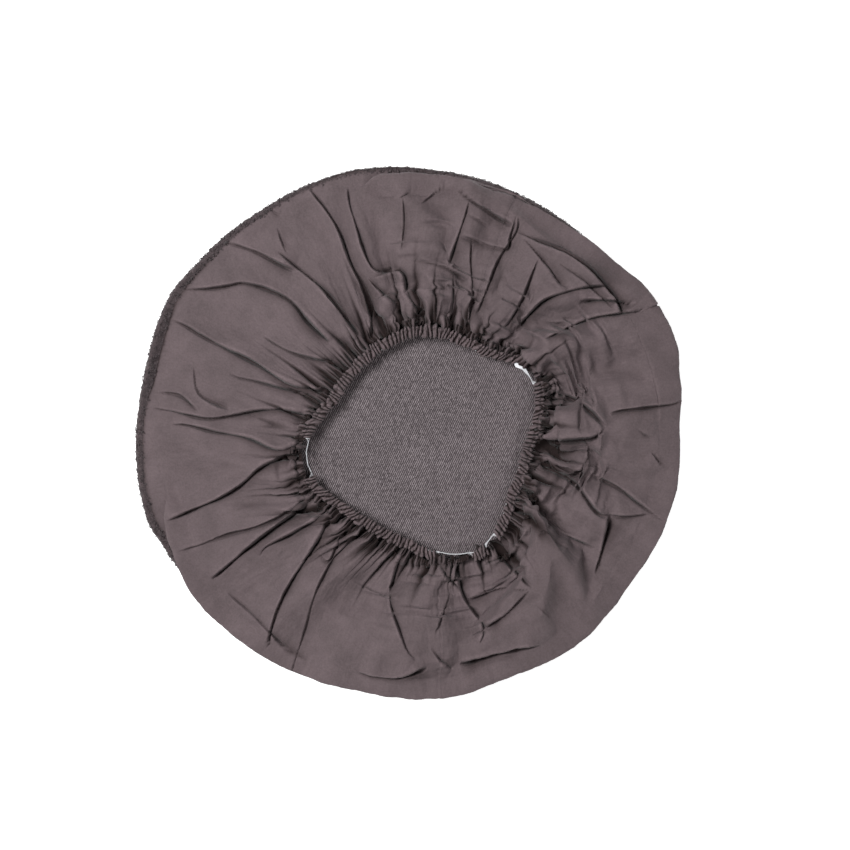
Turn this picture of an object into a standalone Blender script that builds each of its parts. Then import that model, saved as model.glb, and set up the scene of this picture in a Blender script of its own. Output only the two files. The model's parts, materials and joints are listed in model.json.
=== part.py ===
"""Round gathered wheel cover, lying on its face with the elastic mouth up.

Metres, +Z up. The pile side of the face rests on z = 0, the rim is centred on the
origin, and the mouth is a rounded four-cornered opening a little to the +X side.
"""
import math

import bpy

# Face panel
FACE_RADIUS = 0.3575
PILE_THICKNESS = 0.0040
LINING_INSET = 0.0025
LINING_THICKNESS = 0.0012
PIECE_GAP = 0.0003

# Skirt
RIM_RADIUS = 0.3525
SKIRT_THICKNESS = 0.0010
SKIRT_RISE = 0.0315
CROWN_POWER = 0.55
SKIRT_ROWS = 10
SEAM_TOP_DEG = 66.0
SEAM_BOTTOM_DEG = -84.0
SEAM_TWIST_DEG = 4.0
SEAM_HALF_GAP_DEG = 0.08
COLUMN_DEG = 6.0

# Mouth: direction in degrees and radius of each corner and of each side between corners
MOUTH_X = 0.022
MOUTH_Y = -0.008
MOUTH_KNOTS = (
    (33.0, 0.156),
    (62.0, 0.129),
    (93.0, 0.134),
    (145.0, 0.123),
    (189.0, 0.157),
    (240.0, 0.126),
    (294.0, 0.156),
    (340.0, 0.122),
)
CORNER_SHARPNESS = 1.5

# Hem casing, elastic and threads
HEM_HEIGHT = 0.0225
CASING_WIDTH = 0.0130
CASING_DEPTH = 0.0056
CASING_WALL = 0.0006
CASING_GAP_TO_SKIRT = 0.0024
CASING_ARCS_DEG = {
    "hem_casing_top": (41.0, 178.0),
    "hem_casing_left": (197.0, 274.0),
    "hem_casing_bottom": (292.0, 298.0),
    "hem_casing_right": (306.0, 386.0),
}
ELASTIC_WIDTH = 0.0060
ELASTIC_THICKNESS = 0.0010
BARTACK_DEG = 236.0
BARTACK_LENGTH = 0.0080
BARTACK_STITCHES = 8
THREAD_RADIUS = 0.00035
OVERLOCK_WIDTH = 0.0050
OVERLOCK_RADIUS = 0.3440
OVERLOCK_STITCHES = 60

COLOURS = {
    "pile": ((0.058, 0.042, 0.045), 0.95),
    "lining": ((0.155, 0.128, 0.135), 0.90),
    "skirt": ((0.150, 0.116, 0.121), 0.80),
    "thread": ((0.110, 0.086, 0.090), 0.70),
    "elastic": ((0.820, 0.820, 0.830), 0.75),
}


def clear_scene():
    """Start from an empty scene."""
    for item in list(bpy.data.objects):
        bpy.data.objects.remove(item, do_unlink=True)


def make_material(name):
    """One plain surface per fabric."""
    colour, roughness = COLOURS[name]
    material = bpy.data.materials.new(name)
    material.use_nodes = True
    surface = material.node_tree.nodes["Principled BSDF"]
    surface.inputs["Base Color"].default_value = (*colour, 1.0)
    surface.inputs["Roughness"].default_value = roughness
    surface.inputs["Metallic"].default_value = 0.0
    return material


def mouth_radius(angle):
    """Distance from the mouth's centre to its edge in one direction (radians)."""
    degrees = math.degrees(angle) % 360.0
    for index, (start, radius) in enumerate(MOUTH_KNOTS):
        end, next_radius = MOUTH_KNOTS[(index + 1) % len(MOUTH_KNOTS)]
        span = (end - start) % 360.0
        offset = (degrees - start) % 360.0
        if offset <= span:
            break
    from_corner = offset / span if radius > next_radius else 1.0 - offset / span
    nearness = (0.5 + 0.5 * math.cos(math.pi * from_corner)) ** CORNER_SHARPNESS
    side, corner = sorted((radius, next_radius))
    return side + (corner - side) * nearness


def mouth_point(angle, offset):
    """A point in plan on the mouth's edge, moved outwards by the offset."""
    radius = mouth_radius(angle) + offset
    return MOUTH_X + radius * math.cos(angle), MOUTH_Y + radius * math.sin(angle)


def skirt_point(angle, share, lift=0.0):
    """A point of the skirt's middle surface: share 0 at the rim, 1 at the hem."""
    hem_offset = CASING_WIDTH + CASING_GAP_TO_SKIRT
    hem_x, hem_y = mouth_point(angle + math.radians(SEAM_TWIST_DEG), hem_offset)
    rim_x = RIM_RADIUS * math.cos(angle)
    rim_y = RIM_RADIUS * math.sin(angle)
    rim_z = PILE_THICKNESS + LINING_THICKNESS + 2.0 * PIECE_GAP + SKIRT_THICKNESS
    arch = SKIRT_RISE * math.sin(math.pi * share ** CROWN_POWER)
    x = rim_x + (hem_x - rim_x) * share
    y = rim_y + (hem_y - rim_y) * share
    z = rim_z + (HEM_HEIGHT - rim_z) * share + arch
    return x, y, z + lift


def arc_angles(start_deg, end_deg):
    """Evenly spaced directions (radians) along an arc, about one column apart."""
    count = max(2, round((end_deg - start_deg) / COLUMN_DEG))
    step = (end_deg - start_deg) / count
    return [math.radians(start_deg + step * index) for index in range(count + 1)]


def ring_angles():
    """Directions (radians) of one full turn, without repeating the first."""
    return arc_angles(0.0, 360.0)[:-1]


def loft_faces(rows, columns, wrap_rows, wrap_columns):
    """Quads between neighbouring rows of points."""
    faces = []
    for row in range(rows if wrap_rows else rows - 1):
        next_row = (row + 1) % rows
        for column in range(columns if wrap_columns else columns - 1):
            next_column = (column + 1) % columns
            faces.append((
                row * columns + column,
                row * columns + next_column,
                next_row * columns + next_column,
                next_row * columns + column,
            ))
    return faces


def finish_piece(piece, material, collection):
    """Give a piece its material and its place in the collection."""
    piece.data.materials.clear()
    piece.data.materials.append(material)
    for other in list(piece.users_collection):
        other.objects.unlink(piece)
    collection.objects.link(piece)
    return piece


def mesh_piece(name, points, faces, origin, material, collection):
    """A smooth mesh piece whose origin is the given point."""
    moved = [tuple(value - base for value, base in zip(point, origin)) for point in points]
    mesh = bpy.data.meshes.new(name)
    mesh.from_pydata(moved, [], faces)
    mesh.polygons.foreach_set("use_smooth", [True] * len(mesh.polygons))
    piece = bpy.data.objects.new(name, mesh)
    piece.location = origin
    bpy.context.scene.collection.objects.link(piece)
    return finish_piece(piece, material, collection)


def add_walls(piece, thickness, offset):
    """Give an open surface its cloth thickness."""
    walls = piece.modifiers.new("walls", "SOLIDIFY")
    walls.thickness = thickness
    walls.offset = offset
    walls.use_even_offset = True


def face_disc(name, radius, base, thickness, material, collection):
    """A round layer of the face panel with a softened edge."""
    bpy.ops.mesh.primitive_cylinder_add(
        vertices=len(ring_angles()),
        radius=radius,
        depth=thickness,
        location=(0.0, 0.0, base + thickness / 2.0),
    )
    disc = bpy.context.object
    disc.name = name
    edge = disc.modifiers.new("edge", "BEVEL")
    edge.width = thickness * 0.3
    edge.segments = 2
    edge.limit_method = "ANGLE"
    edge.angle_limit = math.radians(60.0)
    return finish_piece(disc, material, collection)


def skirt_panel(name, start_deg, end_deg, material, collection):
    """One skirt panel: an arched strip from the round rim to the four-cornered mouth."""
    angles = arc_angles(start_deg + SEAM_HALF_GAP_DEG, end_deg - SEAM_HALF_GAP_DEG)
    shares = [(row / SKIRT_ROWS) ** 1.5 for row in range(SKIRT_ROWS + 1)]
    points = [skirt_point(angle, share) for share in shares for angle in angles]
    faces = loft_faces(len(shares), len(angles), False, False)
    panel = mesh_piece(name, points, faces, (0.0, 0.0, 0.0), material, collection)
    add_walls(panel, SKIRT_THICKNESS, 0.0)
    return panel


def oval_section(width, depth, count):
    """Points of a flattened oval, as (outwards, up) pairs in turning order."""
    section = []
    for index in range(count):
        turn = 2.0 * math.pi * (index + 0.5) / count
        section.append((0.5 * width * math.cos(turn), 0.5 * depth * math.sin(turn)))
    return section


def swept_points(angles, section):
    """The section carried round the mouth at hem height."""
    points = []
    for outwards, up in section:
        for angle in angles:
            x, y = mouth_point(angle, 0.5 * CASING_WIDTH + outwards)
            points.append((x, y, HEM_HEIGHT + up))
    return points


def hem_origin():
    """The hem pieces share one origin, on the line they move along."""
    return MOUTH_X, MOUTH_Y, HEM_HEIGHT


def hem_casing(name, material, collection):
    """A length of hem folded into a hollow channel, open at both ends."""
    angles = arc_angles(*CASING_ARCS_DEG[name])
    section = oval_section(CASING_WIDTH, CASING_DEPTH, 10)
    points = swept_points(angles, section)
    faces = loft_faces(len(section), len(angles), True, False)
    casing = mesh_piece(name, points, faces, hem_origin(), material, collection)
    add_walls(casing, CASING_WALL, -1.0)
    return casing


def elastic_band(material, collection):
    """A flat closed loop of elastic that runs through every length of casing."""
    half_width = ELASTIC_WIDTH / 2.0
    half_thickness = ELASTIC_THICKNESS / 2.0
    section = (
        (half_width, -half_thickness),
        (half_width, half_thickness),
        (-half_width, half_thickness),
        (-half_width, -half_thickness),
    )
    angles = ring_angles()
    points = swept_points(angles, section)
    faces = loft_faces(len(section), len(angles), True, True)
    return mesh_piece("elastic_band", points, faces, hem_origin(), material, collection)


def thread_piece(name, points, origin, closed, material, collection):
    """A round sewing thread through a row of points."""
    curve = bpy.data.curves.new(name, "CURVE")
    curve.dimensions = "3D"
    curve.bevel_depth = THREAD_RADIUS
    curve.bevel_resolution = 2
    curve.use_fill_caps = not closed
    line = curve.splines.new("POLY")
    line.points.add(len(points) - 1)
    for knot, point in zip(line.points, points):
        knot.co = (*(value - base for value, base in zip(point, origin)), 1.0)
    line.use_cyclic_u = closed
    line.use_smooth = True
    thread = bpy.data.objects.new(name, curve)
    thread.location = origin
    bpy.context.scene.collection.objects.link(thread)
    return finish_piece(thread, material, collection)


def rim_seam_thread(material, collection):
    """The stitch line that joins the skirt to the face, just outside the skirt."""
    radius = FACE_RADIUS - 0.0012
    height = PILE_THICKNESS + PIECE_GAP + THREAD_RADIUS
    points = [(radius * math.cos(a), radius * math.sin(a), height) for a in ring_angles()]
    return thread_piece("rim_seam_thread", points, (0.0, 0.0, 0.0), True, material, collection)


def rim_overlock_thread(material, collection):
    """The zigzag that binds the rim's seam allowance, inside the skirt."""
    height = PILE_THICKNESS + LINING_THICKNESS + 2.0 * PIECE_GAP + THREAD_RADIUS
    points = []
    for index in range(2 * OVERLOCK_STITCHES):
        angle = math.pi * index / OVERLOCK_STITCHES
        radius = OVERLOCK_RADIUS - OVERLOCK_WIDTH * (index % 2)
        points.append((radius * math.cos(angle), radius * math.sin(angle), height))
    return thread_piece("rim_overlock_thread", points, (0.0, 0.0, 0.0), True, material, collection)


def side_seam_thread(name, seam_deg, material, collection):
    """The stitch line down the join between the two skirt panels."""
    lift = SKIRT_THICKNESS + PIECE_GAP + THREAD_RADIUS
    shares = [0.08 + 0.88 * row / 12 for row in range(13)]
    points = [skirt_point(math.radians(seam_deg), share, lift) for share in shares]
    return thread_piece(name, points, (0.0, 0.0, 0.0), False, material, collection)


def hem_stitch_thread(material, collection):
    """The stitch line that closes the casing along its outer edge."""
    offset = CASING_WIDTH + 0.4 * CASING_GAP_TO_SKIRT
    points = [(*mouth_point(angle, offset), HEM_HEIGHT) for angle in ring_angles()]
    return thread_piece("hem_stitch_thread", points, hem_origin(), True, material, collection)


def elastic_bartack(material, collection):
    """The tight zigzag that joins the two ends of the elastic."""
    height = HEM_HEIGHT + ELASTIC_THICKNESS / 2.0 + PIECE_GAP + THREAD_RADIUS
    middle = math.radians(BARTACK_DEG)
    radius = mouth_radius(middle)
    points = []
    for index in range(BARTACK_STITCHES + 1):
        along = BARTACK_LENGTH * (index / BARTACK_STITCHES - 0.5)
        across = 0.3 * ELASTIC_WIDTH * (1 if index % 2 else -1)
        x, y = mouth_point(middle + along / radius, 0.5 * CASING_WIDTH + across)
        points.append((x, y, height))
    return thread_piece("elastic_bartack", points, hem_origin(), False, material, collection)


def build():
    """Make every piece of the cover."""
    clear_scene()
    cover = bpy.data.collections.new("wheel_cover")
    bpy.context.scene.collection.children.link(cover)
    materials = {name: make_material(name) for name in COLOURS}
    thread = materials["thread"]

    face_disc("face_pile", FACE_RADIUS, 0.0, PILE_THICKNESS, materials["pile"], cover)
    face_disc(
        "face_lining",
        FACE_RADIUS - LINING_INSET,
        PILE_THICKNESS + PIECE_GAP,
        LINING_THICKNESS,
        materials["lining"],
        cover,
    )
    skirt_panel("skirt_left", SEAM_TOP_DEG, SEAM_BOTTOM_DEG + 360.0, materials["skirt"], cover)
    skirt_panel("skirt_right", SEAM_BOTTOM_DEG, SEAM_TOP_DEG, materials["skirt"], cover)
    for name in CASING_ARCS_DEG:
        hem_casing(name, materials["skirt"], cover)
    elastic_band(materials["elastic"], cover)
    elastic_bartack(thread, cover)
    rim_seam_thread(thread, cover)
    rim_overlock_thread(thread, cover)
    side_seam_thread("side_seam_thread_top", SEAM_TOP_DEG, thread, cover)
    side_seam_thread("side_seam_thread_bottom", SEAM_BOTTOM_DEG, thread, cover)
    hem_stitch_thread(thread, cover)


build()
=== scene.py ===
"""Looks of the round wheel cover: simulated skirt, ruffled hem, elastic, stitches and pile.

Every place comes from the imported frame. The cover lies on its pile face on z = 0 with its
mouth up. Lengths are metres, directions are degrees counted from +X towards +Y.
"""

import json
import math

import bpy
import numpy as np
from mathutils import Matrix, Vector


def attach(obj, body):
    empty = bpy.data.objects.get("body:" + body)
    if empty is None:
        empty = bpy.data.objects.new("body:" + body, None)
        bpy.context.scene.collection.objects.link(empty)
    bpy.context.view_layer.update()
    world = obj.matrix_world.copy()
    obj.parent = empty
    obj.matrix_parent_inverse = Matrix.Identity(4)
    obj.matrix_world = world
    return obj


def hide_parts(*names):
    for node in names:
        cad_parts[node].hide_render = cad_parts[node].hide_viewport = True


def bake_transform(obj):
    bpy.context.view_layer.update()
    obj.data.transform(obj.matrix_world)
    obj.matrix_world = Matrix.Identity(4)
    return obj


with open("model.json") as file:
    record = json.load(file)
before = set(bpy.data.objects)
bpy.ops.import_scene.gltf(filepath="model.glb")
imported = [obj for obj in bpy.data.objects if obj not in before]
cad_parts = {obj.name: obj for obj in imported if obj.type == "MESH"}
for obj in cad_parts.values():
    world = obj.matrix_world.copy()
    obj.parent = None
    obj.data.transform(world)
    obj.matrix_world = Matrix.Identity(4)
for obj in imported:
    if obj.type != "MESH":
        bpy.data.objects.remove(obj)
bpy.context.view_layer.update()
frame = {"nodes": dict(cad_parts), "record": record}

SEED = 11

# Face: direction and distance of the pile's edge, and how far inside it the skirt is sewn on
FACE_EDGE = (
    (20.0, 0.346), (60.0, 0.345), (78.0, 0.347), (105.0, 0.354), (122.0, 0.353), (138.0, 0.357),
    (150.0, 0.364), (168.0, 0.358), (198.0, 0.364), (206.0, 0.356), (214.0, 0.349), (235.0, 0.342),
    (290.0, 0.335), (335.0, 0.342),
)
PILE_SHOWS = (
    (0.0, 0.010), (60.0, 0.006), (85.0, 0.002), (103.0, 0.001), (115.0, 0.003), (128.0, 0.006),
    (148.0, 0.010), (158.0, 0.0145), (168.0, 0.0145), (175.0, 0.0078), (190.0, 0.0072),
    (200.0, 0.009), (208.0, 0.004), (240.0, 0.004), (300.0, 0.010),
)

# Pile: height of its backing, its usual radius, its flat radius, the size and depth of the
# curls below it, and the rings that carry them
PILE_TOP = 0.0042
PILE_RADIUS = 0.352
PILE_CELL = 0.0044
PILE_CURL_DEPTH = 0.0030
PILE_STEP = 0.0021
PILE_UNDER_RINGS = 166

# Pile's rolled edge: radius, turn in degrees from below to its top, size of its curls and
# their share of the radius, and how far it rises where more of it shows
EDGE_ROLL = 0.0042
ROLL_FROM = -75.0
ROLL_TO = 90.0
ROLL_RINGS = 9
EDGE_CELL = 0.0036
EDGE_CURL_SHARE = 0.55
EDGE_LIFT_SHARE = 0.32
EDGE_LIFT_MOST = 0.006
EDGE_LOWEST = 0.0003
# Rings that run from the rolled edge down to the backing, and the height of their curls
OVER_INWARDS = (0.0022, 0.0044, 0.0066, 0.009, 0.012, 0.016, 0.020)
OVER_CURL_HEIGHT = 0.0016

# Loose curls of yarn round the edge: count, the turns of the roll they stand on, radii, thickness
CURL_COUNT = 4200
CURL_TURNS = (-50.0, 130.0)
CURL_RADII = (0.0010, 0.0022)
CURL_LOWEST = 0.0014
CURL_POINTS = 7
CURL_CORNERS = 4
YARN_RADIUS = 0.00055
YARN_LOWEST = 0.0002

# Lining: height on the pile, flat radius, gap to the rim seam, and its faint ripples
LINING_HEIGHT = 0.0052
LINING_RINGS = 75
LINING_INSET = 0.0012
LINING_RIPPLE = 0.00016
LINING_RIPPLES = 7

# Skirt: cut height, seam height, and the outline that its bulge reaches
SKIRT_HEIGHT = 0.222
SEAM_HEIGHT = 0.0088
BULGE_EDGE = (
    (0.0, 0.354), (10.0, 0.362), (20.0, 0.371), (30.0, 0.368), (42.0, 0.353), (52.0, 0.345),
    (70.0, 0.345), (80.0, 0.352), (90.0, 0.350), (110.0, 0.351), (140.0, 0.355), (180.0, 0.353),
    (215.0, 0.358), (232.0, 0.355), (258.0, 0.347), (280.0, 0.352), (290.0, 0.345),
    (310.0, 0.354), (324.0, 0.350), (340.0, 0.356), (350.0, 0.358),
)
# Directions between which the bulge is held while the cloth settles, and how firmly
BULGE_HEIGHT = 0.014
BULGE_FROM = 196.0
BULGE_TO = 100.0
BULGE_HOLD = 0.35
BULGE_SLOPE = 20.0
# Directions of the two side seams, and how far the hem is twisted against the rim
SEAM_TOP = 66.0
SEAM_BOTTOM = 276.0
HEM_TWIST = 4.0

# Simulation: grid, length of the hem as cut, and frames
SIM_COLUMNS = 360
SIM_ROWS = 32
SIM_HEM_LENGTH = 1.5
SIM_FRAMES = 85
# Frame, then how far the hem is lowered and how far the elastic is closed
SIM_KEYS = ((1, 0.0, 0.0), (22, 1.0, 0.0), (26, 1.0, 0.0), (55, 0.0, 1.0))
# Height of the lowered hem, and the seeded unevenness of the start, the bulge and the gathers
LOWERED_HEIGHT = 0.05
START_BELLY = 0.02
START_UNREST = 0.004
OUTLINE_UNREST = 0.0015
GATHER_UNREST = 1.2
BULGE_ROW = 3

# Settled drape: the directions that are smoothed and how often, how often all of it is evened
# out, the rows that are moved to the outline, and how much the folds are sharpened after that
SMOOTH_SIDE = (112.0, 306.0)
SMOOTH_SLOPE = 22.0
SMOOTH_TIMES = 30
EVEN_TIMES = 5
BULGE_ROWS = 7
OUTLINE_EVEN = 4
CRISP_REACH = 7
CRISPNESS = 0.35

# Fine skirt mesh: grid, and its lowest height over the pile and highest over the floor
FINE_COLUMNS = 1920
FINE_ROWS = 165
SKIRT_CLEAR = 0.0026
SKIRT_TOP = 0.050
# Soft crumple: waves round the skirt and height of each layer, and the share of waves down it
CRUMPLES = ((70, 0.0021), (300, 0.0006))
CRUMPLE_STRETCH = 0.12
# Shares of the cut over which the folds fade in at the rim and fade out at the hem
RIM_SHARE = 0.025
HEM_SHARE = 0.06
# Groove of the side seams: depth and half-width; then its puckers: height, reach and pitch
SEAM_GROOVE = (0.0010, 0.0022)
SEAM_PUCKER = (0.0004, 0.010, 0.011)
SEAM_DISTANCE = 0.25
# Rows of the fine mesh that the side seams' stitches run over, and their place beside the groove
SEAM_ROWS = slice(3, -6)
SEAM_COLUMN = 3

# Pleats: scale of their depths, reach of lip and foot, taper at the ends, and the slight
# waver of their routes; a pleat is lit from the side that LIGHT_SIDE points to, and its
# painted shade lies on the other side
LIGHT_SIDE = Vector((-0.804, 0.595))
PLEAT_DEPTH = 1.5
PLEAT_LIP_REACH = 0.016
PLEAT_FOOT_REACH = 0.010
PLEAT_TAPER = 0.014
PLEAT_WAVER = 0.0016
PLEAT_WAVER_TURNS = 58.0
FOLD_TAPER = 0.03

# Painted crease shading: the painted highlight on an open lip, the value of plain cloth, and
# the reach, depth and darkness of the painted shade in a hollow
PAINTED_HIGHLIGHT = 0.30
PAINTED_SHADING_NEUTRAL = 0.2
HOLLOW_REACH = 4
HOLLOW_DEPTH = 0.0016
HOLLOW_PAINTED_SHADE = 0.45

# Hem: distance outside the elastic, less where that is bare; waves (height, number) and puffs
HEM_OUTWARDS = 0.0078
HEM_BARE_INWARDS = 0.0060
HEM_WAVES = ((0.0016, 23.0), (0.0009, 61.0))
RUFFLE_PITCH = 0.0054
# Directions between which the elastic is bare, and how gently the casing ends there
BARE_PLACES = ((179.5, 197.5), (275.0, 291.0), (299.0, 305.5), (28.0, 40.5))
BARE_SLOPE = 3.0
# Casing: direction of the middle of each stretch, mesh, size, and girth for its weave
CASING_PLACES = {"top": 110.0, "left": 235.0, "bottom": 295.0, "right": 346.0}
CASING_CORNERS = 30
CASING_STEPS_PER_DEGREE = 5
CASING_END_GAP = 0.2
CASING_HALF_WIDTH = 0.0084
CASING_SHIFT = 0.0016
CASING_RISE = 0.0064
CASING_TAPER = 0.004
CASING_GIRTH = 0.026
# Unevenness of the puffs along the casing: spacing, then the lowest and highest value
PUFF_DRIFT = (0.007, -0.5, 0.5)
PUFF_SIZE = (0.0045, 0.35, 1.45)
PUFF_LEAN = (0.008, -1.0, 4.5)
PUFF_SKEW = (0.0060, -1.3, 1.3)
PUFF_RIPPLE = (0.0050, -1.1, 1.1)
PUFF_SWAY = (RUFFLE_PITCH, -0.0014, 0.0022)
# The stitch row's place across the casing, and the corner of the section it lies on
STITCH_ROW = 0.30
HEM_STITCH_CORNER = 6

# Elastic: mesh, size, where it lies when bare, and how far it then stands on edge
ELASTIC_COLUMNS = 720
ELASTIC_CORNERS = 16
# Step in degrees at which the elastic's radius is read from its CAD node
ELASTIC_READ_STEP = 2.0
ELASTIC_WIDTH = 0.006
ELASTIC_THICKNESS = 0.001
ELASTIC_LENGTH = 0.94
ELASTIC_GIRTH = 2.0 * (ELASTIC_WIDTH + ELASTIC_THICKNESS)
ELASTIC_INWARDS = 0.0046
ELASTIC_RISE = 0.0024
ELASTIC_UPRIGHT = 0.48 * math.pi
# The upper right bare place, where the elastic starts flat and then turns on edge
TWIST_FROM = 24.0
TWIST_TO = 45.0
TWIST_FLAT = 40.5
TWIST_SLOPE = 9.0

# Stitches: length and gap, mesh, thread
HEM_STITCH = (0.0024, 0.0009)
SEAM_STITCH = (0.0026, 0.0009)
STITCH_POINTS = 5
STITCH_CORNERS = 6
THREAD_RADIUS = 0.00032

# Overlock of the rim seam's allowance: loops, inset from the seam, swing, thread
OVERLOCK_TURNS = 700
OVERLOCK_INSET = 0.0040
OVERLOCK_SWING = 0.0034
OVERLOCK_RADIUS = 0.0003
THREAD_ABOVE = 0.0006

# Cloth: cut height and lengths of the skirt's panels, and the pitches of the weaves
SKIRT_LENGTH = 2.15
WEAVE_PITCH = 0.0005
TWILL_PITCH = 0.00245
TWILL_NORMAL_DEG = -24.8

# Colours, linear
# Painted crease shading: the tone of plain cloth, below the painted highlight, and the colour of
# the darkest painted shade
PAINTED_SHADING_PLAIN_TONE = 0.83
PAINTED_CREASE_SHADE = (0.095, 0.060, 0.052)
SKIRT_DARK = (0.149, 0.113, 0.119)
SKIRT_LIGHT = (0.200, 0.151, 0.160)
TWILL_DARK = (0.052, 0.042, 0.045)
TWILL_MIDDLE = (0.128, 0.106, 0.113)
TWILL_LIGHT = (0.36, 0.31, 0.325)
PILE_DARK = (0.034, 0.025, 0.027)
PILE_LIGHT = (0.150, 0.118, 0.124)
THREAD_DARK = (0.10, 0.078, 0.082)
THREAD_LIGHT = (0.15, 0.118, 0.124)
ELASTIC_SHADE = (0.80, 0.82, 0.90)
ELASTIC_WHITE = (0.96, 0.97, 1.0)

# Light, floor and camera
KEY_PLACE = (-1.9, 0.8, 3.1)
KEY_SIZE = 1.5
KEY_POWER = 124.0
FILL_PLACE = (1.3, -1.1, 3.1)
FILL_SIZE = 2.2
FILL_POWER = 38.0
SURROUND = 0.045
FLOOR_SIZE = 60.0
FLOOR_HEIGHT = -0.0004
FLOOR_GLOW = 0.74
LENS = 85.0
CAMERA_PLACE = (0.0196, 0.0111, 2.647)


def polar_knots(knots, degrees):
    """Smooth closed outline through a few (direction, distance) knots."""
    degrees = np.asarray(degrees) % 360.0
    result = np.zeros(len(degrees))
    for index, (start, radius) in enumerate(knots):
        end, next_radius = knots[(index + 1) % len(knots)]
        offset = (degrees - start) % 360.0
        span = (end - start) % 360.0
        inside = offset < span
        share = (1.0 - np.cos(np.pi * offset[inside] / span)) / 2.0
        result[inside] = radius + (next_radius - radius) * share
    return result


def even_directions(count):
    """Directions in degrees, evenly spaced round the cover."""
    return np.arange(count) * 360.0 / count


def ring_noise(random, count, waves):
    """Smooth closed noise, at most 1 high, with no more than the given number of waves."""
    spectrum = np.fft.rfft(random.normal(size=count))
    spectrum[waves:] = 0.0
    noise = np.fft.irfft(spectrum, count)
    return noise / np.abs(noise).max()


def unit_ring(degrees):
    """Unit vectors in plan for directions in degrees."""
    turn = np.radians(degrees)
    return np.stack([np.cos(turn), np.sin(turn), np.zeros(len(turn))], axis=1)


def hem_centre():
    """The mouth's centre at hem height, from the record."""
    for mount in frame["record"]["mounts"]:
        if mount["name"] == "elastic_mouth":
            return np.array(mount["pos_m"])


HEM_CENTRE = hem_centre()


def elastic_radius(degrees):
    """Distance from the mouth's centre to the middle of the elastic, from its CAD node."""
    mesh = frame["nodes"]["elastic_band"].data
    points = np.array([vertex.co for vertex in mesh.vertices])[:, :2] - HEM_CENTRE[:2]
    turn = np.degrees(np.arctan2(points[:, 1], points[:, 0])) % 360.0
    distance = np.hypot(points[:, 0], points[:, 1])
    count = round(360.0 / ELASTIC_READ_STEP)
    columns = np.round(turn / ELASTIC_READ_STEP).astype(int) % count
    filled = [c for c in range(count) if (columns == c).any()]
    middle = [(distance[columns == c].min() + distance[columns == c].max()) / 2.0 for c in filled]
    places = np.array(filled) * ELASTIC_READ_STEP
    return np.interp(np.asarray(degrees) % 360.0, places, middle, period=360.0)


def hem_ring(degrees, outwards, up):
    """Points round the mouth, moved outwards from and above the middle of the elastic."""
    ring = unit_ring(degrees)
    radius = elastic_radius(degrees) + outwards
    points = HEM_CENTRE + ring * radius[:, None]
    points[:, 2] += up
    return points


def mesh_object(name, points, faces, smooth=True):
    """A new mesh object from points and faces."""
    mesh = bpy.data.meshes.new(name)
    mesh.from_pydata(np.asarray(points).reshape(-1, 3).tolist(), [], faces)
    mesh.polygons.foreach_set("use_smooth", [smooth] * len(mesh.polygons))
    mesh.update()
    piece = bpy.data.objects.new(name, mesh)
    bpy.context.scene.collection.objects.link(piece)
    return piece


def grid_faces(rows, columns, wrap_columns=True, wrap_rows=False):
    """Quads of a grid, facing up where rows run inwards and columns run anticlockwise."""
    row = np.arange(rows if wrap_rows else rows - 1)
    column = np.arange(columns if wrap_columns else columns - 1)
    row, column = np.meshgrid(row, column, indexing="ij")
    next_row = (row + 1) % rows
    next_column = (column + 1) % columns
    corners = (
        row * columns + column,
        row * columns + next_column,
        next_row * columns + next_column,
        next_row * columns + column,
    )
    return np.stack(corners, axis=-1).reshape(-1, 4).tolist()


def grid_normals(grid):
    """Unit normals of a grid that is closed along its columns."""
    along = np.roll(grid, -1, axis=1) - np.roll(grid, 1, axis=1)
    across = -np.gradient(grid, axis=0)
    normals = np.cross(across, along)
    length = np.linalg.norm(normals, axis=2, keepdims=True)
    return normals / np.maximum(length, 1e-9)


def smooth_cubic(a, b, c, d, share):
    """A point between b and c, on a smooth curve that also runs through a and d."""
    return 0.5 * (
        2.0 * b + (c - a) * share
        + (2.0 * a - 5.0 * b + 4.0 * c - d) * share ** 2
        + (3.0 * b - a - 3.0 * c + d) * share ** 3
    )


def cubic_rows(grid, positions):
    """Values at fractional row positions, by a smooth cubic through the rows."""
    last = grid.shape[0] - 1
    base = np.clip(np.floor(positions).astype(int), 0, last - 1)
    share = (positions - base)[:, None, None]
    before = grid[np.clip(base - 1, 0, last)]
    after = grid[np.clip(base + 2, 0, last)]
    return smooth_cubic(before, grid[base], grid[base + 1], after, share)


def cubic_columns(grid, count):
    """The grid resampled to another number of columns round its closed direction."""
    columns = grid.shape[1]
    positions = np.arange(count) * columns / count + 2
    padded = np.concatenate([grid[:, -2:], grid, grid[:, :3]], axis=1)
    return cubic_rows(padded.transpose(1, 0, 2), positions).transpose(1, 0, 2)


# ---------------------------------------------------------------- skirt simulation


def seam_radius(degrees):
    """Distance from the origin to the line where the skirt is sewn to the face."""
    return polar_knots(FACE_EDGE, degrees) - polar_knots(PILE_SHOWS, degrees)


def hem_outwards(degrees):
    """How far outside the elastic the skirt meets its casing; less where the elastic is bare."""
    return HEM_OUTWARDS - HEM_BARE_INWARDS * bare_share(degrees)


def bare_share(degrees):
    """1 where the elastic is bare, 0 where it runs in the casing, with short slopes."""
    share = np.zeros(len(degrees))
    for start, end in BARE_PLACES:
        middle = (start + end) / 2.0
        away = np.abs((np.asarray(degrees) - middle + 180.0) % 360.0 - 180.0)
        reach = (end - start + BARE_SLOPE) / 2.0
        share = np.maximum(share, np.clip((reach - away) / BARE_SLOPE, 0.0, 1.0))
    return share * share * (3.0 - 2.0 * share)


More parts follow.
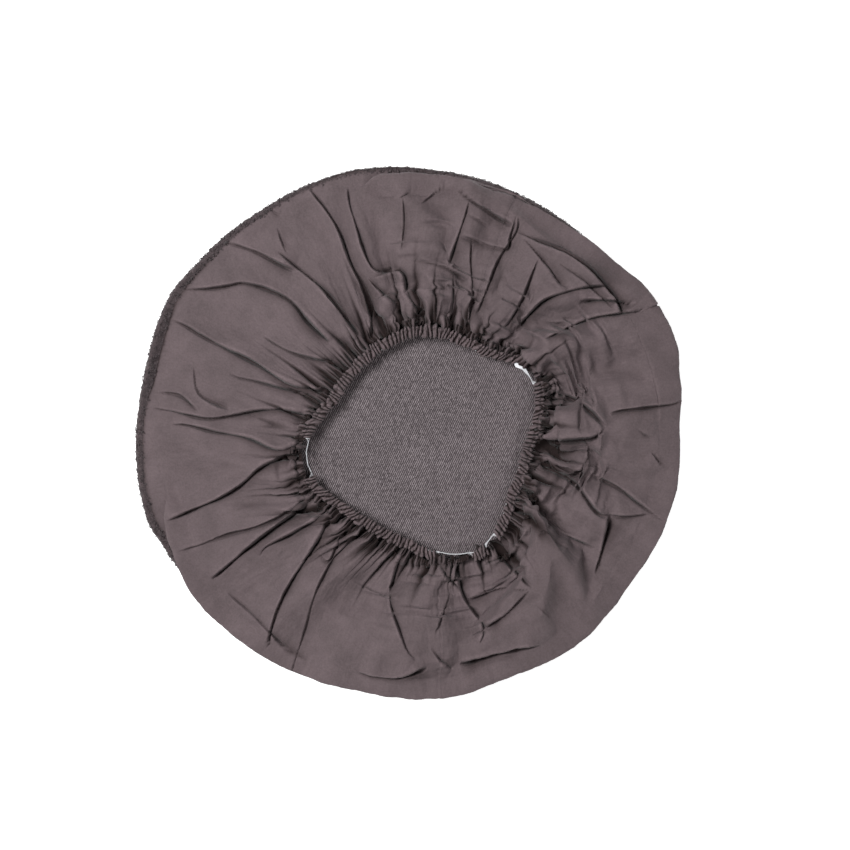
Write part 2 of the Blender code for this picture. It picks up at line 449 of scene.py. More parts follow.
def skirt_cone(columns, rows):
    """The skirt as cut and sewn into a ring: a cone from the rim's length to the hem's."""
    rim = float(np.mean(seam_radius(np.arange(360.0))))
    hem = SIM_HEM_LENGTH / (2.0 * math.pi)
    rise = math.sqrt(SKIRT_HEIGHT ** 2 - (rim - hem) ** 2)
    ring = unit_ring(even_directions(columns))
    share = np.linspace(0.0, 1.0, rows + 1)[:, None, None]
    cone = ring[None] * (rim + (hem - rim) * share)
    cone[:, :, 2] = SEAM_HEIGHT + rise * share[:, :, 0]
    return cone


def bulge_hold(degrees):
    """How firmly the skirt's bulge is held outside the rim in each direction."""
    past = (np.asarray(degrees) - BULGE_FROM) % 360.0
    span = (BULGE_TO - BULGE_FROM) % 360.0
    return np.clip(np.minimum(past, span - past) / BULGE_SLOPE, 0.0, 1.0) * BULGE_HOLD


def sim_keys(random):
    """Start, lowered and closed shapes of the skirt, and its cone for the cloth's own size."""
    degrees = even_directions(SIM_COLUMNS)
    ring = unit_ring(degrees)
    cone = skirt_cone(SIM_COLUMNS, SIM_ROWS)
    share = np.linspace(0.0, 1.0, SIM_ROWS + 1)
    belly = np.sin(np.pi * share)[:, None, None]
    unrest = START_UNREST * ring_noise(random, SIM_COLUMNS, 60)[None, :, None]
    start = cone + ring[None] * belly * (START_BELLY + unrest)
    start[0] = ring * seam_radius(degrees)[:, None]
    start[0, :, 2] = SEAM_HEIGHT
    outline = polar_knots(BULGE_EDGE, degrees)
    outline += OUTLINE_UNREST * ring_noise(random, SIM_COLUMNS, 30)
    held = bulge_hold(degrees) > 0.0
    start[BULGE_ROW, held] = (ring * outline[:, None])[held]
    start[BULGE_ROW, held, 2] = BULGE_HEIGHT
    lowered = start.copy()
    lowered[-1] = ring * cone[-1, :, :2].max() + HEM_CENTRE * 0.5
    lowered[-1, :, 2] = LOWERED_HEIGHT
    closed = start.copy()
    gather = degrees + HEM_TWIST + GATHER_UNREST * ring_noise(random, SIM_COLUMNS, 12)
    closed[-1] = hem_ring(gather, hem_outwards(gather), 0.0)
    closed[-1, :, 2] += hem_wave(gather)
    return cone, start, lowered, closed


def add_shape_key(piece, name, points):
    """A shape key with the given points."""
    key = piece.shape_key_add(name=name)
    key.data.foreach_set("co", points.astype(np.float32).ravel())
    return key


def hold_rows(piece, degrees):
    """The rim and hem rows are held, and the bulge row is held softly."""
    group = piece.vertex_groups.new(name="held")
    last = SIM_ROWS * SIM_COLUMNS
    group.add(list(range(SIM_COLUMNS)) + list(range(last, last + SIM_COLUMNS)), 1.0, "REPLACE")
    for column, weight in enumerate(bulge_hold(degrees)):
        if weight > 0.0:
            group.add([BULGE_ROW * SIM_COLUMNS + column], float(weight), "REPLACE")
    return group


def cloth_settings(piece, group, rest):
    """A light, crisp polycotton that meets itself and the face."""
    modifier = piece.modifiers.new("cloth", "CLOTH")
    modifier.point_cache.frame_end = SIM_FRAMES
    cloth = modifier.settings
    cloth.vertex_group_mass = group.name
    cloth.rest_shape_key = rest
    cloth.quality = 6
    cloth.mass = 0.002
    cloth.air_damping = 0.05
    cloth.tension_stiffness = 40.0
    cloth.compression_stiffness = 40.0
    cloth.shear_stiffness = 20.0
    cloth.bending_stiffness = 0.1
    cloth.tension_damping = 2.0
    cloth.compression_damping = 2.0
    cloth.shear_damping = 2.0
    cloth.bending_damping = 0.1
    contact = modifier.collision_settings
    contact.distance_min = 0.002
    contact.collision_quality = 2
    contact.use_self_collision = True
    contact.self_distance_min = 0.0015


def simulate_skirt(random):
    """The skirt as a grid of points, rim row first, after its hem is drawn in by the elastic."""
    degrees = even_directions(SIM_COLUMNS)
    cone, start, lowered, closed = sim_keys(random)
    skirt = mesh_object("simulated_skirt", start, grid_faces(SIM_ROWS + 1, SIM_COLUMNS))
    skirt.shape_key_add(name="Basis")
    rest = add_shape_key(skirt, "cut", cone)
    lower_key = add_shape_key(skirt, "lowered", lowered)
    close_key = add_shape_key(skirt, "closed", closed)
    for at, low, close in SIM_KEYS:
        lower_key.value = low
        lower_key.keyframe_insert("value", frame=at)
        close_key.value = close
        close_key.keyframe_insert("value", frame=at)
    cloth_settings(skirt, hold_rows(skirt, degrees), rest)
    points = settle(skirt)
    bpy.data.objects.remove(skirt, do_unlink=True)
    return points.reshape(SIM_ROWS + 1, SIM_COLUMNS, 3)


def settle(skirt):
    """The skirt's points after its simulation has run, on a plane in the lining's place."""
    bpy.ops.mesh.primitive_plane_add(size=2.0, location=(0.0, 0.0, LINING_HEIGHT))
    ground = bpy.context.object
    ground.modifiers.new("contact", "COLLISION")
    ground.collision.thickness_outer = 0.001
    bpy.context.scene.frame_end = SIM_FRAMES
    for at in range(1, SIM_FRAMES + 1):
        bpy.context.scene.frame_set(at)
    settled = skirt.evaluated_get(bpy.context.evaluated_depsgraph_get()).to_mesh()
    points = np.zeros(3 * len(settled.vertices))
    settled.vertices.foreach_get("co", points)
    bpy.data.objects.remove(ground, do_unlink=True)
    bpy.context.scene.frame_set(1)
    return points


# ---------------------------------------------------------------- skirt folds

# Pleats pressed into the skirt: depth, half-width of the step, then the route in metres from
# the cover's centre. A pleat's lip is on its left or upper side, where the light comes from.
PLEATS = (
    # left
    (0.0075, 0.0014, (-0.313, 0.148), (-0.281, 0.135), (-0.216, 0.100), (-0.164, 0.070),
     (-0.104, 0.053)),
    (0.0045, 0.0011, (-0.236, 0.079), (-0.216, 0.070), (-0.134, 0.055)),
    (0.0052, 0.0011, (-0.337, 0.033), (-0.272, 0.022), (-0.233, 0.024), (-0.169, 0.033),
     (-0.130, 0.027)),
    (0.0060, 0.0012, (-0.311, 0.010), (-0.281, 0.010), (-0.216, -0.005), (-0.173, -0.020),
     (-0.138, -0.005)),
    (0.0030, 0.0009, (-0.285, 0.087), (-0.279, 0.053), (-0.238, 0.031)),
    (0.0044, 0.0010, (-0.190, 0.126), (-0.156, 0.109), (-0.100, 0.092)),
    (0.0034, 0.0009, (-0.333, 0.053), (-0.302, 0.049), (-0.277, 0.031)),
    (0.0070, 0.0014, (-0.315, -0.115), (-0.272, -0.094), (-0.225, -0.070), (-0.186, -0.038),
     (-0.130, -0.020)),
    (0.0036, 0.0010, (-0.302, -0.154), (-0.246, -0.133), (-0.203, -0.124), (-0.169, -0.107),
     (-0.134, -0.081)),
    # upper left
    (0.0058, 0.0012, (-0.320, 0.186), (-0.241, 0.195), (-0.215, 0.196), (-0.164, 0.180),
     (-0.133, 0.149), (-0.103, 0.119)),
    (0.0050, 0.0011, (-0.241, 0.253), (-0.198, 0.236), (-0.151, 0.216)),
    (0.0056, 0.0012, (-0.172, 0.238), (-0.133, 0.206), (-0.099, 0.167), (-0.066, 0.126)),
    (0.0030, 0.0009, (-0.176, 0.270), (-0.170, 0.255), (-0.161, 0.238)),
    (0.0030, 0.0009, (-0.189, 0.296), (-0.172, 0.288)),
    (0.0062, 0.0012, (-0.135, 0.327), (-0.112, 0.292), (-0.094, 0.262), (-0.077, 0.223),
     (-0.060, 0.184), (-0.049, 0.128)),
    (0.0050, 0.0011, (-0.081, 0.322), (-0.079, 0.292), (-0.060, 0.240), (-0.043, 0.214),
     (-0.012, 0.216)),
    (0.0080, 0.0016, (-0.047, 0.206), (-0.012, 0.212), (-0.006, 0.184), (0.001, 0.167),
     (0.016, 0.152)),
    (0.0060, 0.0014, (-0.056, 0.206), (-0.034, 0.180), (-0.019, 0.167)),
    (0.0028, 0.0008, (-0.010, 0.309), (-0.010, 0.240)),
    (0.0030, 0.0009, (-0.015, 0.307), (0.003, 0.316)),
    # top
    (0.0030, 0.0009, (0.013, 0.298), (0.048, 0.326)),
    (0.0044, 0.0010, (0.076, 0.304), (0.065, 0.270), (0.052, 0.222)),
    (0.0050, 0.0011, (0.062, 0.322), (0.084, 0.302), (0.110, 0.284), (0.132, 0.272)),
    (0.0040, 0.0010, (0.137, 0.283), (0.130, 0.257), (0.125, 0.239), (0.083, 0.254),
     (0.067, 0.259)),
    (0.0044, 0.0010, (0.080, 0.254), (0.080, 0.187), (0.074, 0.139)),
    (0.0030, 0.0009, (0.076, 0.287), (0.102, 0.270)),
    (0.0044, 0.0010, (0.007, 0.224), (0.048, 0.218), (0.076, 0.202)),
    (0.0036, 0.0009, (0.139, 0.283), (0.137, 0.261), (0.113, 0.218), (0.085, 0.157)),
    (0.0040, 0.0010, (0.057, 0.209), (0.052, 0.165), (0.048, 0.139)),
    # upper right
    (0.0074, 0.0015, (0.140, 0.262), (0.180, 0.247), (0.204, 0.236), (0.224, 0.222),
     (0.246, 0.202), (0.266, 0.178), (0.274, 0.156)),
    (0.0040, 0.0010, (0.196, 0.222), (0.229, 0.194), (0.262, 0.164)),
    (0.0046, 0.0011, (0.147, 0.255), (0.173, 0.229), (0.193, 0.197), (0.204, 0.190)),
    (0.0062, 0.0013, (0.260, 0.194), (0.208, 0.186), (0.169, 0.173), (0.139, 0.134)),
    (0.0046, 0.0010, (0.169, 0.229), (0.134, 0.154), (0.122, 0.137)),
    (0.0056, 0.0012, (0.294, 0.169), (0.264, 0.175), (0.221, 0.172)),
    (0.0062, 0.0013, (0.307, 0.162), (0.281, 0.160), (0.234, 0.149), (0.178, 0.126)),
    (0.0034, 0.0010, (0.180, 0.149), (0.208, 0.143)),
    (0.0036, 0.0010, (0.308, 0.164), (0.331, 0.171)),
    # right
    (0.0046, 0.0011, (0.359, 0.048), (0.342, 0.037), (0.281, 0.033), (0.262, 0.027)),
    (0.0090, 0.0022, (0.256, 0.009), (0.222, 0.041), (0.172, 0.064)),
    (0.0075, 0.0018, (0.253, 0.007), (0.236, -0.007), (0.189, -0.007)),
    (0.0044, 0.0011, (0.223, -0.008), (0.232, -0.021), (0.221, -0.049), (0.195, -0.056)),
    (0.0070, 0.0016, (0.262, -0.105), (0.246, -0.103), (0.210, -0.060), (0.165, -0.036)),
    (0.0066, 0.0015, (0.243, -0.185), (0.251, -0.146), (0.262, -0.105)),
    (0.0034, 0.0010, (0.318, -0.105), (0.262, -0.107)),
    (0.0046, 0.0011, (0.333, -0.117), (0.281, -0.074), (0.240, -0.056)),
    (0.0030, 0.0009, (0.297, 0.007), (0.316, -0.006)),
    (0.0030, 0.0009, (0.314, -0.025), (0.329, -0.047)),
    (0.0050, 0.0011, (0.240, -0.151), (0.195, -0.130), (0.173, -0.127), (0.156, -0.134)),
    (0.0030, 0.0009, (0.173, -0.127), (0.184, -0.110), (0.197, -0.102)),
    # lower right
    (0.0085, 0.0022, (0.159, -0.200), (0.146, -0.191), (0.124, -0.169), (0.107, -0.148)),
    (0.0044, 0.0011, (0.156, -0.201), (0.115, -0.205), (0.076, -0.217)),
    (0.0050, 0.0011, (0.156, -0.202), (0.128, -0.232), (0.096, -0.254)),
    (0.0062, 0.0013, (0.089, -0.274), (0.093, -0.250), (0.072, -0.213), (0.057, -0.167)),
    (0.0028, 0.0009, (0.031, -0.262), (0.053, -0.207)),
    (0.0056, 0.0012, (0.067, -0.203), (0.044, -0.182), (0.028, -0.158)),
    (0.0040, 0.0011, (0.026, -0.280), (0.040, -0.296), (0.056, -0.308)),
    (0.0062, 0.0014, (0.168, -0.274), (0.110, -0.290), (0.066, -0.298)),
    (0.0026, 0.0008, (0.163, -0.221), (0.180, -0.237)),
    # lower left
    (0.0078, 0.0016, (-0.259, -0.188), (-0.215, -0.152), (-0.176, -0.122), (-0.128, -0.085)),
    (0.0060, 0.0012, (-0.198, -0.161), (-0.189, -0.148), (-0.150, -0.126), (-0.104, -0.102)),
    (0.0056, 0.0012, (-0.185, -0.282), (-0.185, -0.260), (-0.163, -0.208), (-0.137, -0.161),
     (-0.102, -0.110)),
    (0.0030, 0.0008, (-0.155, -0.315), (-0.137, -0.247), (-0.107, -0.174), (-0.091, -0.153),
     (-0.060, -0.123)),
    (0.0034, 0.0010, (-0.123, -0.155), (-0.108, -0.168), (-0.096, -0.143), (-0.078, -0.121)),
    (0.0052, 0.0011, (0.008, -0.297), (-0.006, -0.281), (-0.021, -0.238), (-0.025, -0.208),
     (-0.015, -0.156)),
    (0.0050, 0.0012, (-0.065, -0.312), (-0.016, -0.319), (0.023, -0.306)),
    (0.0034, 0.0010, (-0.238, -0.208), (-0.206, -0.240), (-0.170, -0.276), (-0.134, -0.300)),
)
# Crests of the skirt's rolls: height, half-width, then the route in metres
CRESTS = (
    (0.0075, 0.0085, (0.072, 0.338), (0.080, 0.322), (0.137, 0.285), (0.190, 0.247),
     (0.262, 0.200), (0.315, 0.163)),
    (0.0050, 0.0080, (0.060, -0.300), (0.110, -0.322), (0.175, -0.298)),
    (0.0045, 0.0070, (0.209, -0.068), (0.228, -0.051), (0.231, -0.012)),
    (0.0040, 0.0080, (0.020, 0.300), (0.060, 0.325), (0.075, 0.300)),
)
# Folds at the hem: pitch, shortest and longest reach, height, and half-width of the valleys
HEM_FOLDS = (
    (0.0050, 0.007, 0.022, 0.0058, 0.0012),
    (0.0095, 0.010, 0.036, 0.0070, 0.0015),
    (0.0210, 0.020, 0.070, 0.0105, 0.0025),
)


def smooth_route(route, steps=5):
    """A smooth curve through the route's points, as closely spaced points."""
    points = np.array([route[0], *route, route[-1]])
    curve = []
    for corners in zip(points, points[1:], points[2:], points[3:]):
        curve += [smooth_cubic(*corners, share) for share in np.arange(steps) / steps]
    return np.array([*curve, points[-1]])


def route_distance(points, curve):
    """Signed distance to a curve, more than 0 on its left, and how far along it that is."""
    best = np.full(len(points), np.inf)
    side = np.zeros(len(points))
    along = np.zeros(len(points))
    travelled = 0.0
    for start, end in zip(curve, curve[1:]):
        step = end - start
        length = float(np.hypot(*step))
        offset = points - start
        share = np.clip(offset @ step / length ** 2, 0.0, 1.0)
        gap = offset - share[:, None] * step
        distance = np.hypot(gap[:, 0], gap[:, 1])
        closer = distance < best
        turn = step[0] * offset[:, 1] - step[1] * offset[:, 0]
        side[closer] = np.sign(turn[closer]) * distance[closer]
        along[closer] = travelled + share[closer] * length
        best[closer] = distance[closer]
        travelled += length
    return side, along, travelled


def pleat_height(side, depth, width):
    """Height across a pleat: a long rise to its lip, a narrow notch, and a low foot."""
    lip = (1.0 + np.tanh(side / width)) / 2.0
    rise = 0.65 * lip * np.exp(-np.maximum(side, 0.0) / PLEAT_LIP_REACH)
    foot = 0.15 * (1.0 - lip) * np.exp(np.minimum(side, 0.0) / PLEAT_FOOT_REACH)
    notch = 0.9 * np.exp(-((side + 0.9 * width) / (0.9 * width)) ** 2)
    return PLEAT_DEPTH * depth * (rise + foot - notch)


def pleat_shade(side, width, share):
    """Painted shade across a pleat, darkest in its notch and less on the slope away from the
    light, with a painted highlight on its lip.
    """
    line = np.exp(-((side + 0.6 * width) / (0.68 * width)) ** 2)
    spread = width * (1.8 + 4.6 * share)
    slope = (0.42 + 0.46 * share) * (side < 0.0) * np.exp(-(side / spread) ** 2)
    lip = PAINTED_HIGHLIGHT * np.exp(-((side - 1.4 * width) / (1.3 * width)) ** 2)
    return np.maximum(line, slope) - lip


def press_pleats(points):
    """Height that all the pleats add at points in plan, and the painted shade and highlight
    they put there.
    """
    waver = np.sin(PLEAT_WAVER_TURNS * points[:, ::-1] + np.array([1.0, 4.0]))
    points = points + PLEAT_WAVER * waver
    added = np.zeros(len(points))
    shade = np.zeros(len(points))
    for depth, width, *route in PLEATS:
        curve = smooth_route(route)
        chord = curve[-1] - curve[0]
        flip = 1.0 if LIGHT_SIDE.dot(Vector((-chord[1], chord[0]))) > 0.0 else -1.0
        reach = 4.0 * PLEAT_LIP_REACH
        inside = (points > curve.min(axis=0) - reach) & (points < curve.max(axis=0) + reach)
        near = np.all(inside, axis=1)
        side, along, length = route_distance(points[near], curve)
        ends = np.clip(np.minimum(along, length - along) / PLEAT_TAPER, 0.0, 1.0) ** 0.7
        beyond = np.exp(-(np.abs(side) / reach) ** 4)
        widening = 0.85 + 0.75 * along / length
        widening *= 1.0 + 0.22 * np.sin(90.0 * along + 9000.0 * depth)
        height = pleat_height(side * flip, depth * widening, width * widening)
        added[near] += ends * beyond * height
        # Painted shade and highlight of this pleat, stronger for deeper pleats
        strong = min(1.0, 0.28 + 120.0 * depth)
        own = strong * ends * pleat_shade(side * flip, width * widening, along / length)
        shade[near] = np.where(np.abs(own) > np.abs(shade[near]), own, shade[near])
    for height, width, *route in CRESTS:
        side, along, length = route_distance(points, smooth_route(route))
        ends = np.clip(np.minimum(along, length - along) / FOLD_TAPER, 0.0, 1.0)
        added += height * ends * np.exp(-(np.abs(side) / width) ** 1.3)
    return added, shade


def ruffle(phase, sharpness):
    """Round puffs with sharp valleys between them, from 0 to 1."""
    return np.abs(np.sin(phase / 2.0)) ** sharpness


def valley(phase, pitch, width):
    """A narrow valley once a turn, from 0 to 1 deep."""
    away = (phase + math.pi) % (2.0 * math.pi) - math.pi
    return np.exp(-np.abs(away * pitch / (2.0 * math.pi * width)) ** 1.5)


def closed_knots(random, columns, knots, low, high):
    """Random values between two limits at even spacing round the ring."""
    values = random.uniform(low, high, knots)
    places = np.arange(columns) * knots / columns
    return np.interp(places, np.arange(knots + 1), np.append(values, values[0]))


def hem_gathers(random, degrees, cut):
    """Height of the puffs at the hem and of the folds that run out from it, and their painted
    shade and highlight.
    """
    columns = len(degrees)
    turn = np.radians(degrees)[None, :]
    from_hem = (1.0 - cut) * SKIRT_HEIGHT
    around = 2.0 * math.pi * float(elastic_radius(degrees).mean())
    towards_light = np.tanh(3.0 * (LIGHT_SIDE.y * np.cos(turn) - LIGHT_SIDE.x * np.sin(turn)))
    total = np.zeros((len(cut), columns))
    shade = np.zeros((len(cut), columns))
    for pitch, low, high, height, width in HEM_FOLDS:
        count = round(around / pitch)
        phase = count * turn + 3.0 * ring_noise(random, columns, count // 3)[None, :]
        phase = phase + 90.0 * from_hem * ring_noise(random, columns, 50)[None, :]
        length = closed_knots(random, columns, count, low, high)[None, :]
        size = closed_knots(random, columns, count, 0.5, 1.1)[None, :] * height
        fade = np.exp(-(from_hem / length) ** 1.8)
        lean = (0.5 - phase / (2.0 * math.pi) % 1.0) * towards_light
        spread = 0.7 + 0.8 * fade
        groove = valley(phase, pitch, width * spread)
        total += size * fade * (0.35 * ruffle(phase, 0.6) - groove + 0.7 * lean)
        # Painted shade in the valleys, a little wider than them, and a painted highlight on the
        # puffs
        dark = valley(phase, pitch, 1.35 * width * spread)
        own = (0.92 + PAINTED_HIGHLIGHT) * dark - PAINTED_HIGHLIGHT * ruffle(phase, 1.5)
        shade = np.maximum(shade, own * np.clip(1.8 * fade, 0.0, 1.0))
        shade += np.minimum(own, 0.0) * 0.5 * fade
    near_hem = np.exp(-(from_hem / 0.012) ** 2)
    return total * (1.0 - 0.9 * near_hem * bare_share(degrees)[None, :]), shade


def seam_dip(degrees, cut):
    """Groove along the two side seams, with the puckers that the stitching draws in."""
    dip = np.zeros((len(cut), len(degrees)))
    depth, half_width = SEAM_GROOVE
    height, reach, pitch = SEAM_PUCKER
    for seam in (SEAM_TOP, SEAM_BOTTOM):
        away = (degrees - seam + 180.0) % 360.0 - 180.0
        metres = np.radians(away)[None, :] * SEAM_DISTANCE
        groove = -depth * np.exp(-(metres / half_width) ** 2)
        pucker = np.sin(cut * SKIRT_HEIGHT * 2.0 * math.pi / pitch + 2.0 * np.sign(metres))
        dip += groove + height * pucker * np.exp(-(metres / reach) ** 2)
    return dip * np.sin(math.pi * np.clip(cut, 0.02, 0.98)) ** 0.3


def wrinkle_noise(random, rows, columns, waves, height):
    """Soft crumple over the whole skirt."""
    spectrum = np.fft.rfft2(random.normal(size=(rows * 2, columns)))
    down = np.minimum(np.arange(rows * 2), rows * 2 - np.arange(rows * 2))[:, None]
    across = np.arange(spectrum.shape[1])[None, :]
    keep = np.exp(-((down / (waves * CRUMPLE_STRETCH)) ** 2 + (across / waves) ** 2))
    noise = np.fft.irfft2(spectrum * keep, s=(rows * 2, columns))[:rows]
    return height * noise / np.abs(noise).max()


def detailed_skirt(random):
    """The fine grid of the whole skirt, rim row first, with its row shares and the painted shade
    and highlight at each point.
    """
    cut = np.linspace(0.0, 1.0, FINE_ROWS + 1)
    cut = cut - 0.06 * np.sin(2.0 * math.pi * cut)
    coarse = reach_outline(soften(simulate_skirt(random)))
    grid = cubic_rows(cubic_columns(coarse, FINE_COLUMNS), cut * SIM_ROWS)
    grid = crisp(grid, CRISP_REACH, CRISPNESS)
    hollow = (blur_columns(grid, HOLLOW_REACH) - grid)[:, :, 2]
    degrees = even_directions(FINE_COLUMNS)
    share = cut[:, None]
    rim = np.clip(share / RIM_SHARE, 0.0, 1.0)
    edge = np.clip((1.0 - share) / HEM_SHARE, 0.0, 1.0)
    pleats, pleat_painted_shading = press_pleats(grid[:, :, :2].reshape(-1, 2))
    top = np.clip((grid_normals(grid)[:, :, 2] - 0.5) / 0.3, 0.0, 1.0)
    grid[:, :, 2] += pleats.reshape(grid.shape[:2]) * rim * edge * top
    normals = grid_normals(grid)
    crumple = sum(wrinkle_noise(random, *grid.shape[:2], *size) for size in CRUMPLES)
    gathers, gather_painted_shading = hem_gathers(random, degrees, share)
    height = crumple * rim + gathers + seam_dip(degrees, share) * rim
    grid += normals * height[:, :, None]
    grid[:, :, 2] = np.clip(grid[:, :, 2], PILE_TOP + SKIRT_CLEAR, SKIRT_TOP)
    # Painted shade in the hollows of the simulated folds
    hollow_painted_shade = HOLLOW_PAINTED_SHADE * np.clip(hollow / HOLLOW_DEPTH, 0.0, 1.0)
    pleat_painted_shading = pleat_painted_shading.reshape(grid.shape[:2]) * rim * top
    # Painted shade and highlight of the pleats or of the hem gathers, whichever is stronger
    painted_shading = np.where(np.abs(pleat_painted_shading) > np.abs(gather_painted_shading), pleat_painted_shading, gather_painted_shading)
    # Painted shade: a dark line along the rim seam, in the skirt's first rows
    rim_painted_shade = 0.8 * np.exp(-(share / 0.008) ** 2)
    painted_shading = np.maximum(painted_shading + hollow_painted_shade * (painted_shading < 0.3), rim_painted_shade + painted_shading)
    return grid, share, painted_shading


def reach_outline(grid):
    """The settled skirt with its upper rows moved out or in to the outline of its bulge."""
    degrees = np.degrees(np.arctan2(grid[:, :, 1], grid[:, :, 0]))
    radius = np.hypot(grid[:, :, 0], grid[:, :, 1])
    furthest = radius[:BULGE_ROWS].max(axis=0)
    wanted = polar_knots(BULGE_EDGE, degrees[BULGE_ROW])
    move = np.where(bulge_hold(degrees[BULGE_ROW]) > 0.0, wanted - furthest, 0.0)
    window = 2 * OUTLINE_EVEN + 1
    wrapped = np.concatenate([move[-OUTLINE_EVEN:], move, move[:OUTLINE_EVEN]])
    move = np.convolve(wrapped, np.ones(window) / window, mode="valid")
    rows = np.arange(len(grid))
    share = np.sin(np.pi * np.clip(rows / (2.0 * BULGE_ROWS), 0.0, 1.0)) ** 0.7
    shift = share[:, None] * move[None, :]
    grid[:, :, 0] += shift * np.cos(np.radians(degrees))
    grid[:, :, 1] += shift * np.sin(np.radians(degrees))
    return grid


def blur_columns(grid, reach):
    """The grid smoothed three times over some columns to each side."""
    blurred = grid
    for _ in range(3):
        total = np.zeros_like(grid)
        for step in range(-reach, reach + 1):
            total += np.roll(blurred, step, axis=1)
        blurred = total / (2.0 * reach + 1.0)
    return blurred


def crisp(grid, reach, strength):
    """The grid with its folds made sharper, by adding what a blur over some columns takes away."""
    rows = np.arange(len(grid))
    share = np.clip(np.minimum(rows, len(grid) - 1 - rows) / 8.0, 0.0, 1.0)
    sharper = grid.copy()
    sharper[:, :, 2] += strength * share[:, None] * (grid - blur_columns(grid, reach))[:, :, 2]
    return sharper


def soften(grid):
    """The settled skirt with its finest ripples evened out, most of all on its smooth side."""
    degrees = even_directions(grid.shape[1])
    start, end = SMOOTH_SIDE
    past = np.minimum((degrees - start) % 360.0, (end - degrees) % 360.0) / SMOOTH_SLOPE
    inside = (degrees - start) % 360.0 < (end - start) % 360.0
    smooth = np.where(inside, np.clip(past, 0.0, 1.0), 0.0)[None, :, None]
    for step in range(SMOOTH_TIMES):
        across = (np.roll(grid, 1, axis=1) + np.roll(grid, -1, axis=1)) / 2.0
        amount = 0.5 if step < EVEN_TIMES else 0.5 * smooth
        grid[1:-1] = (grid + amount * (across - grid))[1:-1]
    return grid


def panel(name, grid, painted_shading, first, last):
    """One of the two skirt panels, from one seam column to the other."""
    columns = np.arange(first, last + 1) % FINE_COLUMNS
    points = grid[:, columns]
    piece = mesh_object(name, points, grid_faces(len(points), len(columns), wrap_columns=False))
    lift_by_row(piece)
    set_painted_shading(piece, painted_shading[:, columns])
    return piece


def lift_by_row(piece):
    """The piece's placement baked into its points."""
    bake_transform(piece)


def set_painted_shading(piece, closed):
    """Painted shade and highlight at each point, for its material: 0 is a painted highlight on an
    open lip, higher is darker painted shade.
    """
    values = np.clip(PAINTED_SHADING_NEUTRAL + (1.0 - PAINTED_SHADING_NEUTRAL) * closed, 0.0, 1.0)
    attribute = piece.data.attributes.new("painted_shading", "FLOAT", "POINT")
    attribute.data.foreach_set("value", values.astype(np.float32).ravel())


# ---------------------------------------------------------------- hem


def section_tube(name, sections, closed_round=True):
    """A tube through closed cross-sections, one row each, with end caps where it is open."""
    count, corners = sections.shape[:2]
    faces = grid_faces(count, corners, wrap_rows=closed_round)
    if not closed_round:
        faces.append(list(range(corners)))
        faces.append([(count - 1) * corners + corner for corner in reversed(range(corners))])
    return mesh_object(name, sections, faces)


def casing_arcs():
    """Start and end direction of each stretch of the casing, between the bare places."""
    ends = sorted(BARE_PLACES)
    arcs = []
    for (_, start), (end, _) in zip(ends, ends[1:] + ends[:1]):
        arcs.append((start, end if end > start else end + 360.0))
    return arcs


def knotted(random, arc, spacing, low, high):
    """Random values between two limits at even spacing, joined by straight slopes."""
    knots = np.arange(0.0, arc[-1] + spacing, spacing)
    return np.interp(arc, knots, random.uniform(low, high, len(knots)))


def casing_sections(random, degrees):
    """Cross-sections of the gathered casing: puffs pinched between crisp little valleys, and
    their painted shade and highlight.
    """
    ring = elastic_radius(degrees)
    arc = np.concatenate([[0.0], np.cumsum(np.radians(np.diff(degrees)) * ring[1:])])
    around = np.linspace(0.0, 2.0 * math.pi, CASING_CORNERS, endpoint=False)
    across = np.cos(around)[None, :]
    upper = np.sin(around)[None, :]
    drift = knotted(random, arc, *PUFF_DRIFT)
    size = knotted(random, arc, *PUFF_SIZE)
    lean = knotted(random, arc, *PUFF_LEAN)
    phase = 2.0 * math.pi * arc / RUFFLE_PITCH + 5.5 * drift
    skew = knotted(random, arc, *PUFF_SKEW)[:, None] * across ** 2
    skew = skew + knotted(random, arc, *PUFF_RIPPLE)[:, None] * np.sin(2.6 * across)
    puff = ruffle(phase[:, None] + lean[:, None] * across + skew, 0.9)
    fold = ruffle(1.6 * phase[:, None] - 2.6 * across + 2.0 * skew + 1.3, 0.8)
    height = CASING_RISE * (0.16 + size[:, None] * (0.75 * puff + 0.35 * fold))
    sway = knotted(random, arc, *PUFF_SWAY)
    half = CASING_HALF_WIDTH * (0.62 + 0.40 * puff * size[:, None])
    out = CASING_SHIFT + sway[:, None] + half * across
    seam = np.exp(-((across - STITCH_ROW) / 0.14) ** 2)
    up = height * np.abs(upper) ** 0.8 * np.where(upper > 0.0, 1.0 - 0.5 * seam, -0.55)
    taper = np.clip(np.minimum(arc, arc[-1] - arc) / CASING_TAPER, 0.0, 1.0)[:, None] ** 0.5
    up = up * (0.35 + 0.65 * taper)
    unit = unit_ring(degrees)
    points = HEM_CENTRE + unit[:, None, :] * (ring[:, None] + out)[:, :, None]
    points[:, :, 2] += up + hem_wave(degrees)[:, None]
    # Painted shade in the valleys and along the stitch row, and a painted highlight on the puffs
    shade = 1.1 * np.clip(1.5 - 1.9 * puff, 0.0, 1.0) + 0.6 * np.clip(1.0 - 1.5 * fold, 0.0, 1.0)
    shade = shade + 0.45 * seam - 1.2 * PAINTED_HIGHLIGHT * np.clip(1.6 * puff - 0.6, 0.0, 1.0)
    return points, shade


def hem_wave(degrees):
    """How far the hem rises and dips on its way round."""
    turn = np.radians(degrees)
    return sum(height * np.sin(waves * turn) for height, waves in HEM_WAVES)


